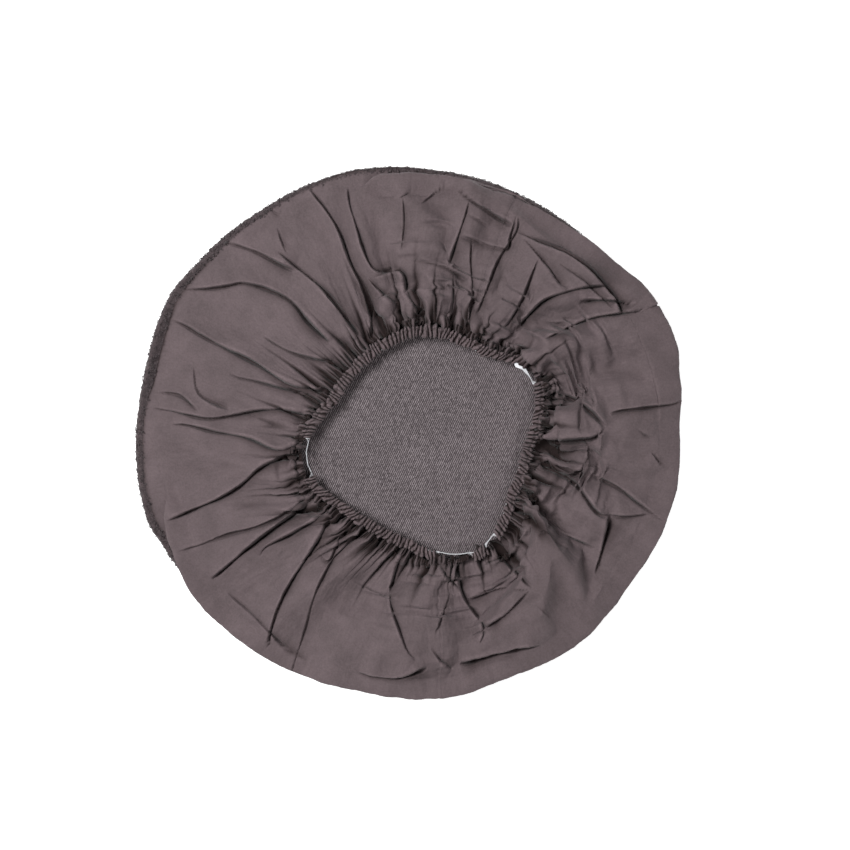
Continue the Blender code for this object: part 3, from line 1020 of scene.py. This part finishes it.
def make_casings(random):
    """The four stretches of casing between the bare places, and their cross-sections."""
    pieces, tubes = {}, {}
    for start, end in casing_arcs():
        middle = (start + end) / 2.0 % 360.0
        name = min(CASING_PLACES, key=lambda label: abs(CASING_PLACES[label] - middle))
        steps = int((end - start) * CASING_STEPS_PER_DEGREE)
        degrees = np.linspace(start + CASING_END_GAP, end - CASING_END_GAP, steps)
        sections, shade = casing_sections(random, degrees)
        piece = section_tube("gathered_casing_" + name, sections, closed_round=False)
        # The casing's painted shade and highlight, for its material
        set_painted_shading(piece, shade)
        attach(piece, "hem")
        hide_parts("hem_casing_" + name)
        tube_cloth_map(piece, sections)
        pieces[name] = piece
        tubes[name] = sections
    return pieces, tubes


def tube_cloth_map(piece, sections):
    """Cloth coordinates for a casing: along its length, and round its section."""
    along = distances_along(sections.mean(axis=1))
    around = np.linspace(0.0, CASING_GIRTH, sections.shape[1])
    add_cloth_map(piece, *np.broadcast_arrays(along[:, None], around[None, :]))


def elastic_turn(degrees):
    """How far the elastic is turned on edge: flat in the casing, upright where it is bare."""
    twist = np.clip((TWIST_FLAT - degrees) / TWIST_SLOPE, 0.0, 1.0)
    twisted = (degrees > TWIST_FROM) & (degrees < TWIST_TO)
    return np.where(twisted, twist, 1.0) * ELASTIC_UPRIGHT * bare_share(degrees)


def make_elastic():
    """The flat braided elastic, drawn to the inner side where it slips out of its casing."""
    degrees = even_directions(ELASTIC_COLUMNS)
    share = bare_share(degrees)
    rise = hem_wave(degrees) + ELASTIC_RISE * share
    centre = hem_ring(degrees, -ELASTIC_INWARDS * share, rise)
    unit = unit_ring(degrees)
    turn = elastic_turn(degrees)[:, None]
    around = np.linspace(0.0, 2.0 * math.pi, ELASTIC_CORNERS, endpoint=False)[None, :]
    wide = ELASTIC_WIDTH / 2.0 * np.sign(np.cos(around)) * np.abs(np.cos(around)) ** 0.45
    thick = ELASTIC_THICKNESS / 2.0 * np.sign(np.sin(around)) * np.abs(np.sin(around)) ** 0.45
    out = wide * np.cos(turn) - thick * np.sin(turn)
    up = wide * np.sin(turn) + thick * np.cos(turn)
    points = centre[:, None, :] + unit[:, None, :] * out[:, :, None]
    points[:, :, 2] += up
    piece = section_tube("flat_elastic", points)
    along = np.arange(ELASTIC_COLUMNS)[:, None] * (ELASTIC_LENGTH / ELASTIC_COLUMNS)
    around = np.linspace(0.0, ELASTIC_GIRTH, ELASTIC_CORNERS)[None, :]
    add_cloth_map(piece, *np.broadcast_arrays(along, around))
    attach(piece, "hem")
    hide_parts("elastic_band")
    return piece


def distances_along(path):
    """Distance from the start of a path to each of its points."""
    steps = np.linalg.norm(np.diff(path, axis=0), axis=1)
    return np.concatenate([[0.0], np.cumsum(steps)])


def stitch_tube(line, up):
    """Points of one stitch: a thread that rises out of the cloth and sinks back into it."""
    shares = np.linspace(0.0, 1.0, STITCH_POINTS)
    around = np.linspace(0.0, 2.0 * math.pi, STITCH_CORNERS, endpoint=False)
    line = line + up * (THREAD_RADIUS * (2.2 * np.sin(math.pi * shares) - 0.6))[:, None]
    sideways = np.cross(np.gradient(line, axis=0), up)
    sideways /= np.maximum(np.linalg.norm(sideways, axis=1, keepdims=True), 1e-9)
    thickness = THREAD_RADIUS * (0.55 + 0.45 * np.sin(math.pi * shares))[:, None, None]
    ring = sideways[:, None, :] * np.cos(around)[None, :, None]
    ring = ring + up[:, None, :] * np.sin(around)[None, :, None]
    return (line[:, None, :] + thickness * ring).reshape(-1, 3)


def stitches(name, path, normals, body, node, stitch):
    """A row of stitches along a path; stitch is their length and the gap between them."""
    length, gap = stitch
    travelled = distances_along(path)
    count = STITCH_POINTS * STITCH_CORNERS
    one = grid_faces(STITCH_POINTS, STITCH_CORNERS)
    one.append(list(reversed(range(STITCH_CORNERS))))
    one.append(list(range(count - STITCH_CORNERS, count)))
    points, faces = [], []
    for start in np.arange(gap, travelled[-1] - length, length + gap):
        at = start + np.linspace(0.0, 1.0, STITCH_POINTS) * length
        line, up = (
            np.stack([np.interp(at, travelled, values[:, axis]) for axis in range(3)], axis=1)
            for values in (path, normals)
        )
        base = len(points) * count
        points.append(stitch_tube(line, up))
        faces += [[base + corner for corner in face] for face in one]
    piece = mesh_object(name, np.concatenate(points), faces)
    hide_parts(node)
    if body:
        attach(piece, body)
    return piece


def make_hem_stitches(tubes):
    """The line of stitches that closes the casing, along its outer top edge."""
    pieces = []
    for name, sections in tubes.items():
        path = sections[:, HEM_STITCH_CORNER]
        up = path - sections.mean(axis=1)
        up /= np.linalg.norm(up, axis=1, keepdims=True)
        piece = stitches("hem_stitches_" + name, path, up, "hem", "hem_stitch_thread", HEM_STITCH)
        pieces.append(piece)
    return pieces


def make_side_seam_stitches(grid, degrees, place):
    """Stitches down a side seam, beside its groove, laid along the skirt's folds."""
    column = (round(degrees / 360.0 * FINE_COLUMNS) + SEAM_COLUMN) % FINE_COLUMNS
    path = grid[SEAM_ROWS, column]
    up = grid_normals(grid)[SEAM_ROWS, column]
    piece = stitches("side_seam_stitches_" + place, path, up, None,
                     "side_seam_thread_" + place, SEAM_STITCH)
    lift_by_row(piece)
    return piece


# ---------------------------------------------------------------- face


def ring_mesh(rings):
    """Triangles that join rings of points, from the centre point outwards."""
    points = np.concatenate(rings)
    faces = []
    base = 0
    for inner, outer in zip(rings, rings[1:]):
        start = base + len(inner)
        few, many = len(inner), len(outer)
        if few == 1:
            faces += [[base, start + j, start + (j + 1) % many] for j in range(many)]
        elif few == many:
            for j in range(many):
                following = (j + 1) % many
                faces.append([base + j, start + j, start + following, base + following])
        else:
            i = j = 0
            while i < few or j < many:
                if j * few <= i * many and j < many:
                    faces.append([base + i % few, start + j, start + (j + 1) % many])
                    j += 1
                else:
                    faces.append([base + i, start + j % many, base + (i + 1) % few])
                    i += 1
        base = start
    return points, faces


def plan_ring(count, share):
    """A ring of points in plan at a share of the way from the centre to the pile's edge."""
    degrees = even_directions(count)
    return degrees, unit_ring(degrees) * (polar_knots(FACE_EDGE, degrees) * share)[:, None]


def curl_bumps(points, cell, random):
    """Height from 0 to 1 of the nearest curl of the pile, at points in plan."""
    size = int(1.0 / cell)
    shift = random.uniform(0.1, 0.9, (size, size, 2))
    tall = random.uniform(0.55, 1.0, (size, size))
    base = np.floor(points / cell).astype(int)
    best = np.zeros(len(points))
    for dx in (-1, 0, 1):
        for dy in (-1, 0, 1):
            cx, cy = base[:, 0] + dx, base[:, 1] + dy
            centre = (np.stack([cx, cy], axis=1) + shift[cx % size, cy % size]) * cell
            away = np.linalg.norm(points - centre, axis=1) / (0.80 * cell)
            dome = np.sqrt(np.clip(1.0 - away ** 2, 0.0, 1.0))
            best = np.maximum(best, tall[cx % size, cy % size] * dome)
    return best


def pile_under(edge_count):
    """Rings of curls under the face, from its centre out to where the edge rolls up."""
    rings = []
    for index in range(PILE_UNDER_RINGS + 1):
        share = index / PILE_UNDER_RINGS
        count = 1 if index == 0 else max(8, round(edge_count * share))
        _, ring = plan_ring(count, share * (1.0 - EDGE_ROLL / PILE_RADIUS))
        ring[:, 2] = PILE_CURL_DEPTH * (1.0 - curl_bumps(ring[:, :2], PILE_CELL, random_from(3)))
        rings.append(ring)
    return rings


def edge_lift(shows):
    """How far the rolled edge rises where more of the pile shows outside the skirt."""
    return np.clip(shows * EDGE_LIFT_SHARE, 0.0, EDGE_LIFT_MOST)


def pile_roll(edge_count):
    """Rings of curls round the pile's rolled edge, from below to its top."""
    degrees, edge = plan_ring(edge_count, 1.0)
    unit = unit_ring(degrees)
    lift = edge_lift(polar_knots(PILE_SHOWS, degrees))
    rings = []
    for turn in np.linspace(ROLL_FROM, ROLL_TO, ROLL_RINGS):
        out = EDGE_ROLL * math.cos(math.radians(turn))
        up = EDGE_ROLL * math.sin(math.radians(turn))
        along = degrees * math.pi / 180.0 * PILE_RADIUS
        across = np.full(edge_count, 0.5 + 0.004 * turn / 75.0)
        flat = np.stack([along, across], axis=1)
        reach = 1.0 + EDGE_CURL_SHARE * (curl_bumps(flat, EDGE_CELL, random_from(4)) - 0.5)
        ring = edge - unit * EDGE_ROLL + unit * (out * reach)[:, None]
        ring[:, 2] = EDGE_ROLL + up * reach + lift * (turn - ROLL_FROM) / (ROLL_TO - ROLL_FROM)
        ring[:, 2] = np.maximum(ring[:, 2], EDGE_LOWEST)
        rings.append(ring)
    return rings


def pile_over(edge_count, top):
    """Rings from the top of the rolled edge down to the pile's backing, and on to the centre."""
    degrees, edge = plan_ring(edge_count, 1.0)
    unit = unit_ring(degrees)
    rings = []
    for index, inwards in enumerate(OVER_INWARDS):
        share = (index + 1) / len(OVER_INWARDS)
        ring = edge - unit * (EDGE_ROLL + inwards)
        bump = OVER_CURL_HEIGHT * (curl_bumps(ring[:, :2] + 0.5, EDGE_CELL, random_from(5)) - 0.5)
        ring[:, 2] = top * (1.0 - share) + PILE_TOP * share + bump * (1.0 - share)
        rings.append(ring)
    for share in (0.8, 0.6, 0.4, 0.2):
        _, ring = plan_ring(round(edge_count * share * 0.3), share)
        ring[:, 2] = PILE_TOP
        rings.append(ring)
    return [*rings, np.array([[0.0, 0.0, PILE_TOP]])]


def make_pile():
    """The curly pile: a disc with bumpy curls below, rolled up round its edge."""
    edge_count = int(2.0 * math.pi * PILE_RADIUS / PILE_STEP)
    roll = pile_roll(edge_count)
    over = pile_over(edge_count, roll[-1][:, 2])
    points, faces = closed_disc(pile_under(edge_count) + roll, over)
    piece = mesh_object("curly_pile", points, faces)
    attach(piece, "cover")
    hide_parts("face_pile")
    return piece


def random_from(offset):
    """A separate seeded source for a pattern that several steps share."""
    return np.random.default_rng(SEED + offset)


def closed_disc(outwards, inwards):
    """One closed mesh from rings that run out from the lower centre and back in above."""
    lower, lower_faces = ring_mesh(outwards)
    upper_rings = [outwards[-1], *inwards]
    upper, upper_faces = ring_mesh(upper_rings[::-1])
    shift = len(lower) - len(outwards[-1])
    places = np.zeros(len(upper), dtype=int)
    own = len(upper) - len(outwards[-1])
    places[:own] = len(lower) + np.arange(own)
    places[own:] = shift + np.arange(len(outwards[-1]))
    points = np.concatenate([lower, upper[:own]])
    faces = [face[::-1] for face in lower_faces]
    faces += [[int(places[corner]) for corner in face] for face in upper_faces]
    return points, faces


def curl_loop(radius):
    """Points of one loop of yarn, thick in the middle and thin at both ends."""
    bend = np.linspace(0.0, 1.55 * math.pi, CURL_POINTS)
    around = np.linspace(0.0, 2.0 * math.pi, CURL_CORNERS, endpoint=False)
    loop = np.stack([np.cos(bend), np.sin(bend), 0.25 * bend], axis=1) * radius
    thick = YARN_RADIUS * np.sin(np.linspace(0.25, math.pi - 0.25, CURL_POINTS))
    outward = np.stack([np.cos(bend), np.sin(bend), np.zeros(CURL_POINTS)], axis=1)
    tube = loop[:, None, :] + thick[:, None, None] * (
        outward[:, None, :] * np.cos(around)[None, :, None]
        + np.array([0.0, 0.0, 1.0]) * np.sin(around)[None, :, None]
    )
    return tube.reshape(-1, 3)


def make_curls(random):
    """Loose loops of yarn that stand out of the pile round its edge."""
    degrees = random.uniform(0.0, 360.0, CURL_COUNT)
    turn = np.radians(random.uniform(*CURL_TURNS, CURL_COUNT))
    radius = random.uniform(*CURL_RADII, CURL_COUNT)
    spin = random.uniform(0.0, 2.0 * math.pi, (CURL_COUNT, 3))
    roll = EDGE_ROLL * 0.92
    edge = polar_knots(FACE_EDGE, degrees) - EDGE_ROLL
    shows = polar_knots(PILE_SHOWS, degrees)
    inwards = np.clip(turn - math.pi / 2.0, 0.0, 0.7) * shows * 0.7
    centre = unit_ring(degrees) * (edge + roll * np.cos(turn) - inwards)[:, None]
    rolled = np.clip((np.degrees(turn) - ROLL_FROM) / (ROLL_TO - ROLL_FROM), 0.0, 1.0)
    lift = edge_lift(shows) * rolled
    centre[:, 2] = EDGE_ROLL + roll * np.sin(np.minimum(turn, math.pi / 2.0)) + lift
    centre[:, 2] = np.maximum(centre[:, 2], CURL_LOWEST)
    one = grid_faces(CURL_POINTS, CURL_CORNERS)
    points, faces = [], []
    for index in range(CURL_COUNT):
        base = index * CURL_POINTS * CURL_CORNERS
        points.append(curl_loop(radius[index]) @ turned(spin[index]).T + centre[index])
        faces += [[base + corner for corner in face] for face in one]
    points = np.maximum(np.concatenate(points), [-1.0, -1.0, YARN_LOWEST])
    piece = mesh_object("pile_edge_curls", points, faces)
    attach(piece, "cover")
    return piece


def turned(angles):
    """Rotation matrix from three angles."""
    cx, cy, cz = np.cos(angles)
    sx, sy, sz = np.sin(angles)
    about_x = np.array([[1.0, 0.0, 0.0], [0.0, cx, -sx], [0.0, sx, cx]])
    about_y = np.array([[cy, 0.0, sy], [0.0, 1.0, 0.0], [-sy, 0.0, cy]])
    about_z = np.array([[cz, -sz, 0.0], [sz, cz, 0.0], [0.0, 0.0, 1.0]])
    return about_z @ about_y @ about_x


# Soft folds in the lining: height, half-width, and a route in metres
LINING_FOLDS = (
    (-0.0016, 0.006, (0.055, 0.118), (0.095, 0.085), (0.135, 0.050)),
    (0.0022, 0.012, (0.065, 0.135), (0.110, 0.100), (0.150, 0.062)),
    (0.0010, 0.010, (-0.060, -0.060), (0.010, -0.090), (0.090, -0.110)),
    (0.0008, 0.014, (-0.090, 0.060), (-0.020, 0.010), (0.060, -0.070)),
)


def make_lining(random):
    """The twill lining, laid on the pile and very slightly uneven."""
    rings = [np.zeros((1, 3))]
    for index in range(1, LINING_RINGS + 1):
        around = max(6, round(2.0 * math.pi * index))
        degrees = even_directions(around)
        reach = (seam_radius(degrees) - LINING_INSET) * index / LINING_RINGS
        rings.append(unit_ring(degrees) * reach[:, None])
    points, faces = ring_mesh(rings)
    plan = points[:, :2]
    points[:, 2] = LINING_HEIGHT
    for height, width, *route in LINING_FOLDS:
        side, along, length = route_distance(plan, smooth_route(route))
        fade = np.clip(np.minimum(along, length - along) / FOLD_TAPER, 0.0, 1.0)
        points[:, 2] += height * fade * np.exp(-(side / width) ** 2)
    for wave in range(LINING_RIPPLES):
        direction = random.uniform(0.0, math.pi)
        number = random.uniform(30.0, 110.0)
        phase = number * (plan @ np.array([math.cos(direction), math.sin(direction)]))
        points[:, 2] += LINING_RIPPLE * np.sin(phase + wave)
    points[:, 2] = np.maximum(points[:, 2], PILE_TOP + 0.0002)
    piece = mesh_object("twill_lining", points, faces)
    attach(piece, "cover")
    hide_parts("face_lining")
    return piece


def make_rim_seam(grid):
    """The stitches that join the skirt to the face."""
    unit = unit_ring(even_directions(FINE_COLUMNS))
    path = grid[0] + unit * THREAD_ABOVE
    up = unit + np.array([0.0, 0.0, 0.5])
    up /= np.linalg.norm(up, axis=1, keepdims=True)
    path, up = (np.concatenate([values, values[:1]]) for values in (path, up))
    return stitches("rim_seam_stitches", path, up, "cover", "rim_seam_thread", SEAM_STITCH)


def make_rim_overlock():
    """The overlocked edge of the rim seam's allowance, inside the skirt."""
    turn = even_directions(4 * OVERLOCK_TURNS)
    swing = np.array([0.0, 1.0, 1.0, 0.0])[np.arange(len(turn)) % 4]
    reach = seam_radius(turn) - OVERLOCK_INSET - OVERLOCK_SWING * swing
    zigzag = unit_ring(turn) * reach[:, None]
    zigzag[:, 2] = LINING_HEIGHT + THREAD_ABOVE
    curve = bpy.data.curves.new("rim_overlock_loops", "CURVE")
    curve.dimensions = "3D"
    spline = curve.splines.new("POLY")
    spline.points.add(len(zigzag) - 1)
    spline.points.foreach_set("co", np.c_[zigzag, np.ones(len(zigzag))].ravel())
    spline.use_cyclic_u = True
    curve.bevel_depth = OVERLOCK_RADIUS
    curve.bevel_resolution = 1
    piece = as_mesh(bpy.data.objects.new("rim_overlock_loops", curve))
    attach(piece, "cover")
    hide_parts("rim_overlock_thread")
    return piece


def as_mesh(curve_object):
    """The mesh of a curve object, under the curve's own name."""
    name = curve_object.name
    bpy.context.scene.collection.objects.link(curve_object)
    bpy.context.view_layer.update()
    mesh = bpy.data.meshes.new_from_object(curve_object)
    bpy.data.objects.remove(curve_object, do_unlink=True)
    mesh.name = name
    piece = bpy.data.objects.new(name, mesh)
    bpy.context.scene.collection.objects.link(piece)
    return piece


# ---------------------------------------------------------------- materials


class Shader:
    """A Principled material and short calls that add its nodes."""

    def __init__(self, name, roughness, sheen=0.0, specular=0.3):
        self.material = bpy.data.materials.new(name)
        self.material.use_nodes = True
        self.tree = self.material.node_tree
        self.surface = self.tree.nodes["Principled BSDF"]
        self.surface.inputs["Roughness"].default_value = roughness
        self.surface.inputs["Sheen Weight"].default_value = sheen
        self.surface.inputs["Sheen Roughness"].default_value = 0.5
        self.surface.inputs["Specular IOR Level"].default_value = specular

    def add(self, kind, **values):
        """A node of the given kind, with its properties set."""
        node = self.tree.nodes.new(kind)
        for name, value in values.items():
            setattr(node, name, value)
        return node

    def link(self, start, end):
        """Join an output to an input."""
        self.tree.links.new(start, end)

    def place(self, turn=0.0, scale=(1.0, 1.0, 1.0)):
        """Object coordinates, turned in degrees about Z and scaled."""
        coordinates = self.add("ShaderNodeTexCoord")
        mapping = self.add("ShaderNodeMapping", vector_type="TEXTURE")
        mapping.inputs["Rotation"].default_value = (0.0, 0.0, math.radians(turn))
        mapping.inputs["Scale"].default_value = scale
        self.link(coordinates.outputs["Object"], mapping.inputs["Vector"])
        return mapping.outputs["Vector"]

    def cloth_place(self, name):
        """Coordinates that lie in the cloth itself, in metres."""
        return self.add("ShaderNodeUVMap", uv_map=name).outputs["UV"]

    def noise(self, where, scale, detail=3.0, roughness=0.55):
        """A noise between 0 and 1."""
        node = self.add("ShaderNodeTexNoise")
        node.inputs["Scale"].default_value = scale
        node.inputs["Detail"].default_value = detail
        node.inputs["Roughness"].default_value = roughness
        self.link(where, node.inputs["Vector"])
        return node.outputs["Fac"]

    def bands(self, where, pitch, direction="X", distortion=0.0):
        """Parallel ribs with the given pitch in metres."""
        node = self.add("ShaderNodeTexWave", bands_direction=direction)
        node.inputs["Scale"].default_value = 2.0 * math.pi / (20.0 * pitch)
        node.inputs["Distortion"].default_value = distortion
        node.inputs["Detail"].default_value = 1.0
        self.link(where, node.inputs["Vector"])
        return node.outputs["Fac"]

    def combine(self, operation, first, second):
        """Maths on two values, each a socket or a number."""
        node = self.add("ShaderNodeMath", operation=operation)
        for index, value in enumerate((first, second)):
            if isinstance(value, (int, float)):
                node.inputs[index].default_value = value
            else:
                self.link(value, node.inputs[index])
        return node.outputs["Value"]

    def ramp(self, value, *stops):
        """Colours at rising positions of a value."""
        node = self.add("ShaderNodeValToRGB")
        elements = node.color_ramp.elements
        while len(elements) < len(stops):
            elements.new(0.5)
        for element, (position, colour) in zip(elements, stops):
            element.position = position
            element.color = (*colour, 1.0)
        self.link(value, node.inputs["Fac"])
        return node.outputs["Color"]

    def times(self, first, second):
        """Two colours multiplied."""
        node = self.add("ShaderNodeMix", data_type="RGBA", blend_type="MULTIPLY")
        node.inputs["Factor"].default_value = 1.0
        self.link(first, node.inputs["A"])
        self.link(second, node.inputs["B"])
        return node.outputs["Result"]

    def tint(self, colour, value, low, high):
        """The colour made darker or lighter by a value."""
        return self.times(colour, self.ramp(value, (0.3, (low,) * 3), (0.7, (high,) * 3)))

    def apply_painted_shading(self, colour, deepest):
        """Painted shade and highlight: the colour darker where the cloth folds into itself,
        lighter on open lips.
        """
        painted_shading = self.add("ShaderNodeAttribute", attribute_name="painted_shading").outputs["Fac"]
        usual = (PAINTED_SHADING_PLAIN_TONE,) * 3
        stops = (0.0, (1.0,) * 3), (PAINTED_SHADING_NEUTRAL, usual), (1.0, deepest)
        return self.times(colour, self.ramp(painted_shading, *stops))

    def finish(self, colour, *bumps):
        """Set the colour and a chain of bumps, each (height socket, distance in metres)."""
        self.link(colour, self.surface.inputs["Base Color"])
        normal = None
        for height, distance in bumps:
            bump = self.add("ShaderNodeBump")
            bump.inputs["Distance"].default_value = distance
            bump.inputs["Strength"].default_value = 1.0
            self.link(height, bump.inputs["Height"])
            if normal:
                self.link(normal, bump.inputs["Normal"])
            normal = bump.outputs["Normal"]
        if normal:
            self.link(normal, self.surface.inputs["Normal"])
        return self.material


def skirt_material():
    """Brown-grey polycotton: a fine plain weave, slight slubs, soft crumples from packing, and
    painted shade and highlights at its folds.
    """
    shader = Shader("polycotton", 0.78, sheen=0.12, specular=0.25)
    where = shader.place()
    cloth = shader.cloth_place("cloth")
    warp = shader.bands(cloth, WEAVE_PITCH, "X")
    weft = shader.bands(cloth, WEAVE_PITCH, "Y")
    weave = shader.combine("MULTIPLY", warp, weft)
    slub = shader.noise(where, 420.0, 2.0)
    mottle = shader.noise(where, 26.0, 4.0, 0.6)
    colour = shader.ramp(mottle, (0.30, SKIRT_DARK), (0.72, SKIRT_LIGHT))
    colour = shader.tint(colour, slub, 0.88, 1.10)
    # Painted shade in the folds and painted highlights on open lips
    colour = shader.apply_painted_shading(colour, PAINTED_CREASE_SHADE)
    crumple = shader.noise(where, 60.0, 5.0, 0.6)
    return shader.finish(colour, (crumple, 0.0011), (slub, 0.00012), (weave, 0.00005))


def lining_material():
    """Heathered twill: steep wales of mixed light and dark yarn, with odd pale flecks."""
    shader = Shader("heather_twill", 0.85, sheen=0.15, specular=0.2)
    along = shader.place(TWILL_NORMAL_DEG)
    wales = shader.bands(along, TWILL_PITCH, "X", distortion=0.6)
    dashes = shader.noise(shader.place(TWILL_NORMAL_DEG, (0.8, 2.4, 1.0)), 620.0, 2.0, 0.6)
    heather = shader.noise(shader.place(90.0, (1.0, 6.0, 1.0)), 260.0, 3.0, 0.6)
    broken = shader.combine("MULTIPLY", wales, shader.combine("ADD", 0.25, dashes))
    mixed = shader.combine("ADD", shader.combine("MULTIPLY", broken, 0.62),
                           shader.combine("MULTIPLY", dashes, 0.42))
    mixed = shader.combine("ADD", mixed, shader.combine("MULTIPLY", heather, 0.16))
    colour = shader.ramp(mixed, (0.32, TWILL_DARK), (0.56, TWILL_MIDDLE), (0.80, TWILL_LIGHT))
    patches = shader.noise(shader.place(), 14.0, 3.0)
    colour = shader.tint(colour, patches, 0.93, 1.06)
    return shader.finish(colour, (mixed, 0.00045))


def pile_material():
    """Dark brown bouclé pile: matt yarn, dark between its curls."""
    shader = Shader("curly_pile", 0.95, sheen=0.25, specular=0.1)
    where = shader.place()
    yarn = shader.noise(where, 900.0, 3.0, 0.65)
    clumps = shader.noise(where, 170.0, 3.0)
    colour = shader.ramp(yarn, (0.30, PILE_DARK), (0.70, PILE_LIGHT))
    colour = shader.tint(colour, clumps, 0.72, 1.15)
    return shader.finish(colour, (yarn, 0.0007), (clumps, 0.0006))


def thread_material():
    """Spun polyester thread with its twist."""
    shader = Shader("sewing_thread", 0.55, sheen=0.05, specular=0.4)
    twist = shader.bands(shader.place(35.0), 0.0006, "DIAGONAL")
    shade = shader.noise(shader.place(), 80.0)
    colour = shader.ramp(shade, (0.3, THREAD_DARK), (0.7, THREAD_LIGHT))
    return shader.finish(colour, (twist, 0.0001))


def elastic_material():
    """White braided elastic: fine ribs along it and a faint bluish tint."""
    shader = Shader("braided_elastic", 0.6, sheen=0.1, specular=0.35)
    where = shader.cloth_place("cloth")
    ribs = shader.bands(where, 0.0009, "Y")
    braid = shader.bands(where, 0.0012, "DIAGONAL")
    height = shader.combine("ADD", ribs, braid)
    colour = shader.ramp(height, (0.0, ELASTIC_SHADE), (0.8, ELASTIC_WHITE))
    return shader.finish(colour, (height, 0.00012))


def add_cloth_map(piece, along, across):
    """A UV map named cloth with each point's place in the cloth, in metres."""
    layer = piece.data.uv_layers.new(name="cloth")
    corners = np.zeros(len(piece.data.loops), dtype=int)
    piece.data.loops.foreach_get("vertex_index", corners)
    values = np.stack([np.ravel(along)[corners], np.ravel(across)[corners]], axis=1)
    layer.data.foreach_set("uv", values.astype(np.float32).ravel())


def dress(material, *pieces):
    """Give each piece its one material."""
    for piece in pieces:
        piece.data.materials.clear()
        piece.data.materials.append(material)


# ---------------------------------------------------------------- stage


def make_floor():
    """A plain, nearly white floor."""
    bpy.ops.mesh.primitive_plane_add(size=FLOOR_SIZE, location=(0.0, 0.0, FLOOR_HEIGHT))
    floor = bpy.context.object
    floor.name = "floor"
    shader = Shader("floor_white", 0.9, specular=0.0)
    shader.surface.inputs["Base Color"].default_value = (0.9, 0.9, 0.9, 1.0)
    shader.surface.inputs["Emission Color"].default_value = (1.0, 1.0, 1.0, 1.0)
    shader.surface.inputs["Emission Strength"].default_value = FLOOR_GLOW
    dress(shader.material, floor)


def area_light(name, place, size, power):
    """A square soft light that faces the cover."""
    light = bpy.data.lights.new(name, "AREA")
    light.size = size
    light.energy = power
    lamp = bpy.data.objects.new(name, light)
    lamp.location = place
    lamp.rotation_euler = Vector(place).to_track_quat("Z", "Y").to_euler()
    bpy.context.scene.collection.objects.link(lamp)


def make_lights():
    """A soft light from the upper left, a weaker one from the lower right, and a dim surround."""
    area_light("key", KEY_PLACE, KEY_SIZE, KEY_POWER)
    area_light("fill", FILL_PLACE, FILL_SIZE, FILL_POWER)
    world = bpy.data.worlds.new("studio")
    bpy.context.scene.world = world
    world.use_nodes = True
    background = world.node_tree.nodes["Background"]
    background.inputs["Color"].default_value = (1.0, 1.0, 1.0, 1.0)
    background.inputs["Strength"].default_value = SURROUND
    bpy.context.scene.view_settings.view_transform = "Standard"


def make_camera():
    """Straight down on the cover, with the cover's +Y at the top of the picture."""
    camera = bpy.data.cameras.new("camera")
    camera.lens = LENS
    holder = bpy.data.objects.new("camera", camera)
    holder.location = CAMERA_PLACE
    bpy.context.scene.collection.objects.link(holder)
    bpy.context.scene.camera = holder


# ---------------------------------------------------------------- the cover


def make_skirt(random):
    """Both skirt panels, their grid and the row shares."""
    grid, share, painted_shading = detailed_skirt(random)
    top = round(SEAM_TOP / 360.0 * FINE_COLUMNS)
    bottom = round(SEAM_BOTTOM / 360.0 * FINE_COLUMNS)
    left = panel("skirt_panel_left", grid, painted_shading, top, bottom)
    right = panel("skirt_panel_right", grid, painted_shading, bottom, top + FINE_COLUMNS)
    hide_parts("skirt_left")
    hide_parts("skirt_right")
    for piece, columns in ((left, bottom - top + 1), (right, top + FINE_COLUMNS - bottom + 1)):
        along = np.arange(columns)[None, :] * (SKIRT_LENGTH / FINE_COLUMNS)
        add_cloth_map(piece, *np.broadcast_arrays(along, share * SKIRT_HEIGHT))
    return left, right, grid, share


def build():
    random = np.random.default_rng(SEED)
    make_camera()
    make_floor()
    make_lights()
    left, right, grid, share = make_skirt(random)
    casings, tubes = make_casings(random)
    elastic = make_elastic()
    threads = make_hem_stitches(tubes)
    pile = make_pile()
    curls = make_curls(random)
    lining = make_lining(random)
    threads += [make_rim_seam(grid), make_rim_overlock()]
    for degrees, place in ((SEAM_TOP, "top"), (SEAM_BOTTOM, "bottom")):
        threads.append(make_side_seam_stitches(grid, degrees, place))
    thread = thread_material()
    dress(skirt_material(), left, right, *casings.values())
    dress(pile_material(), pile, curls)
    dress(lining_material(), lining)
    dress(elastic_material(), elastic)
    dress(thread, *threads)
    frame["nodes"]["elastic_bartack"].material_slots[0].material = thread


build()
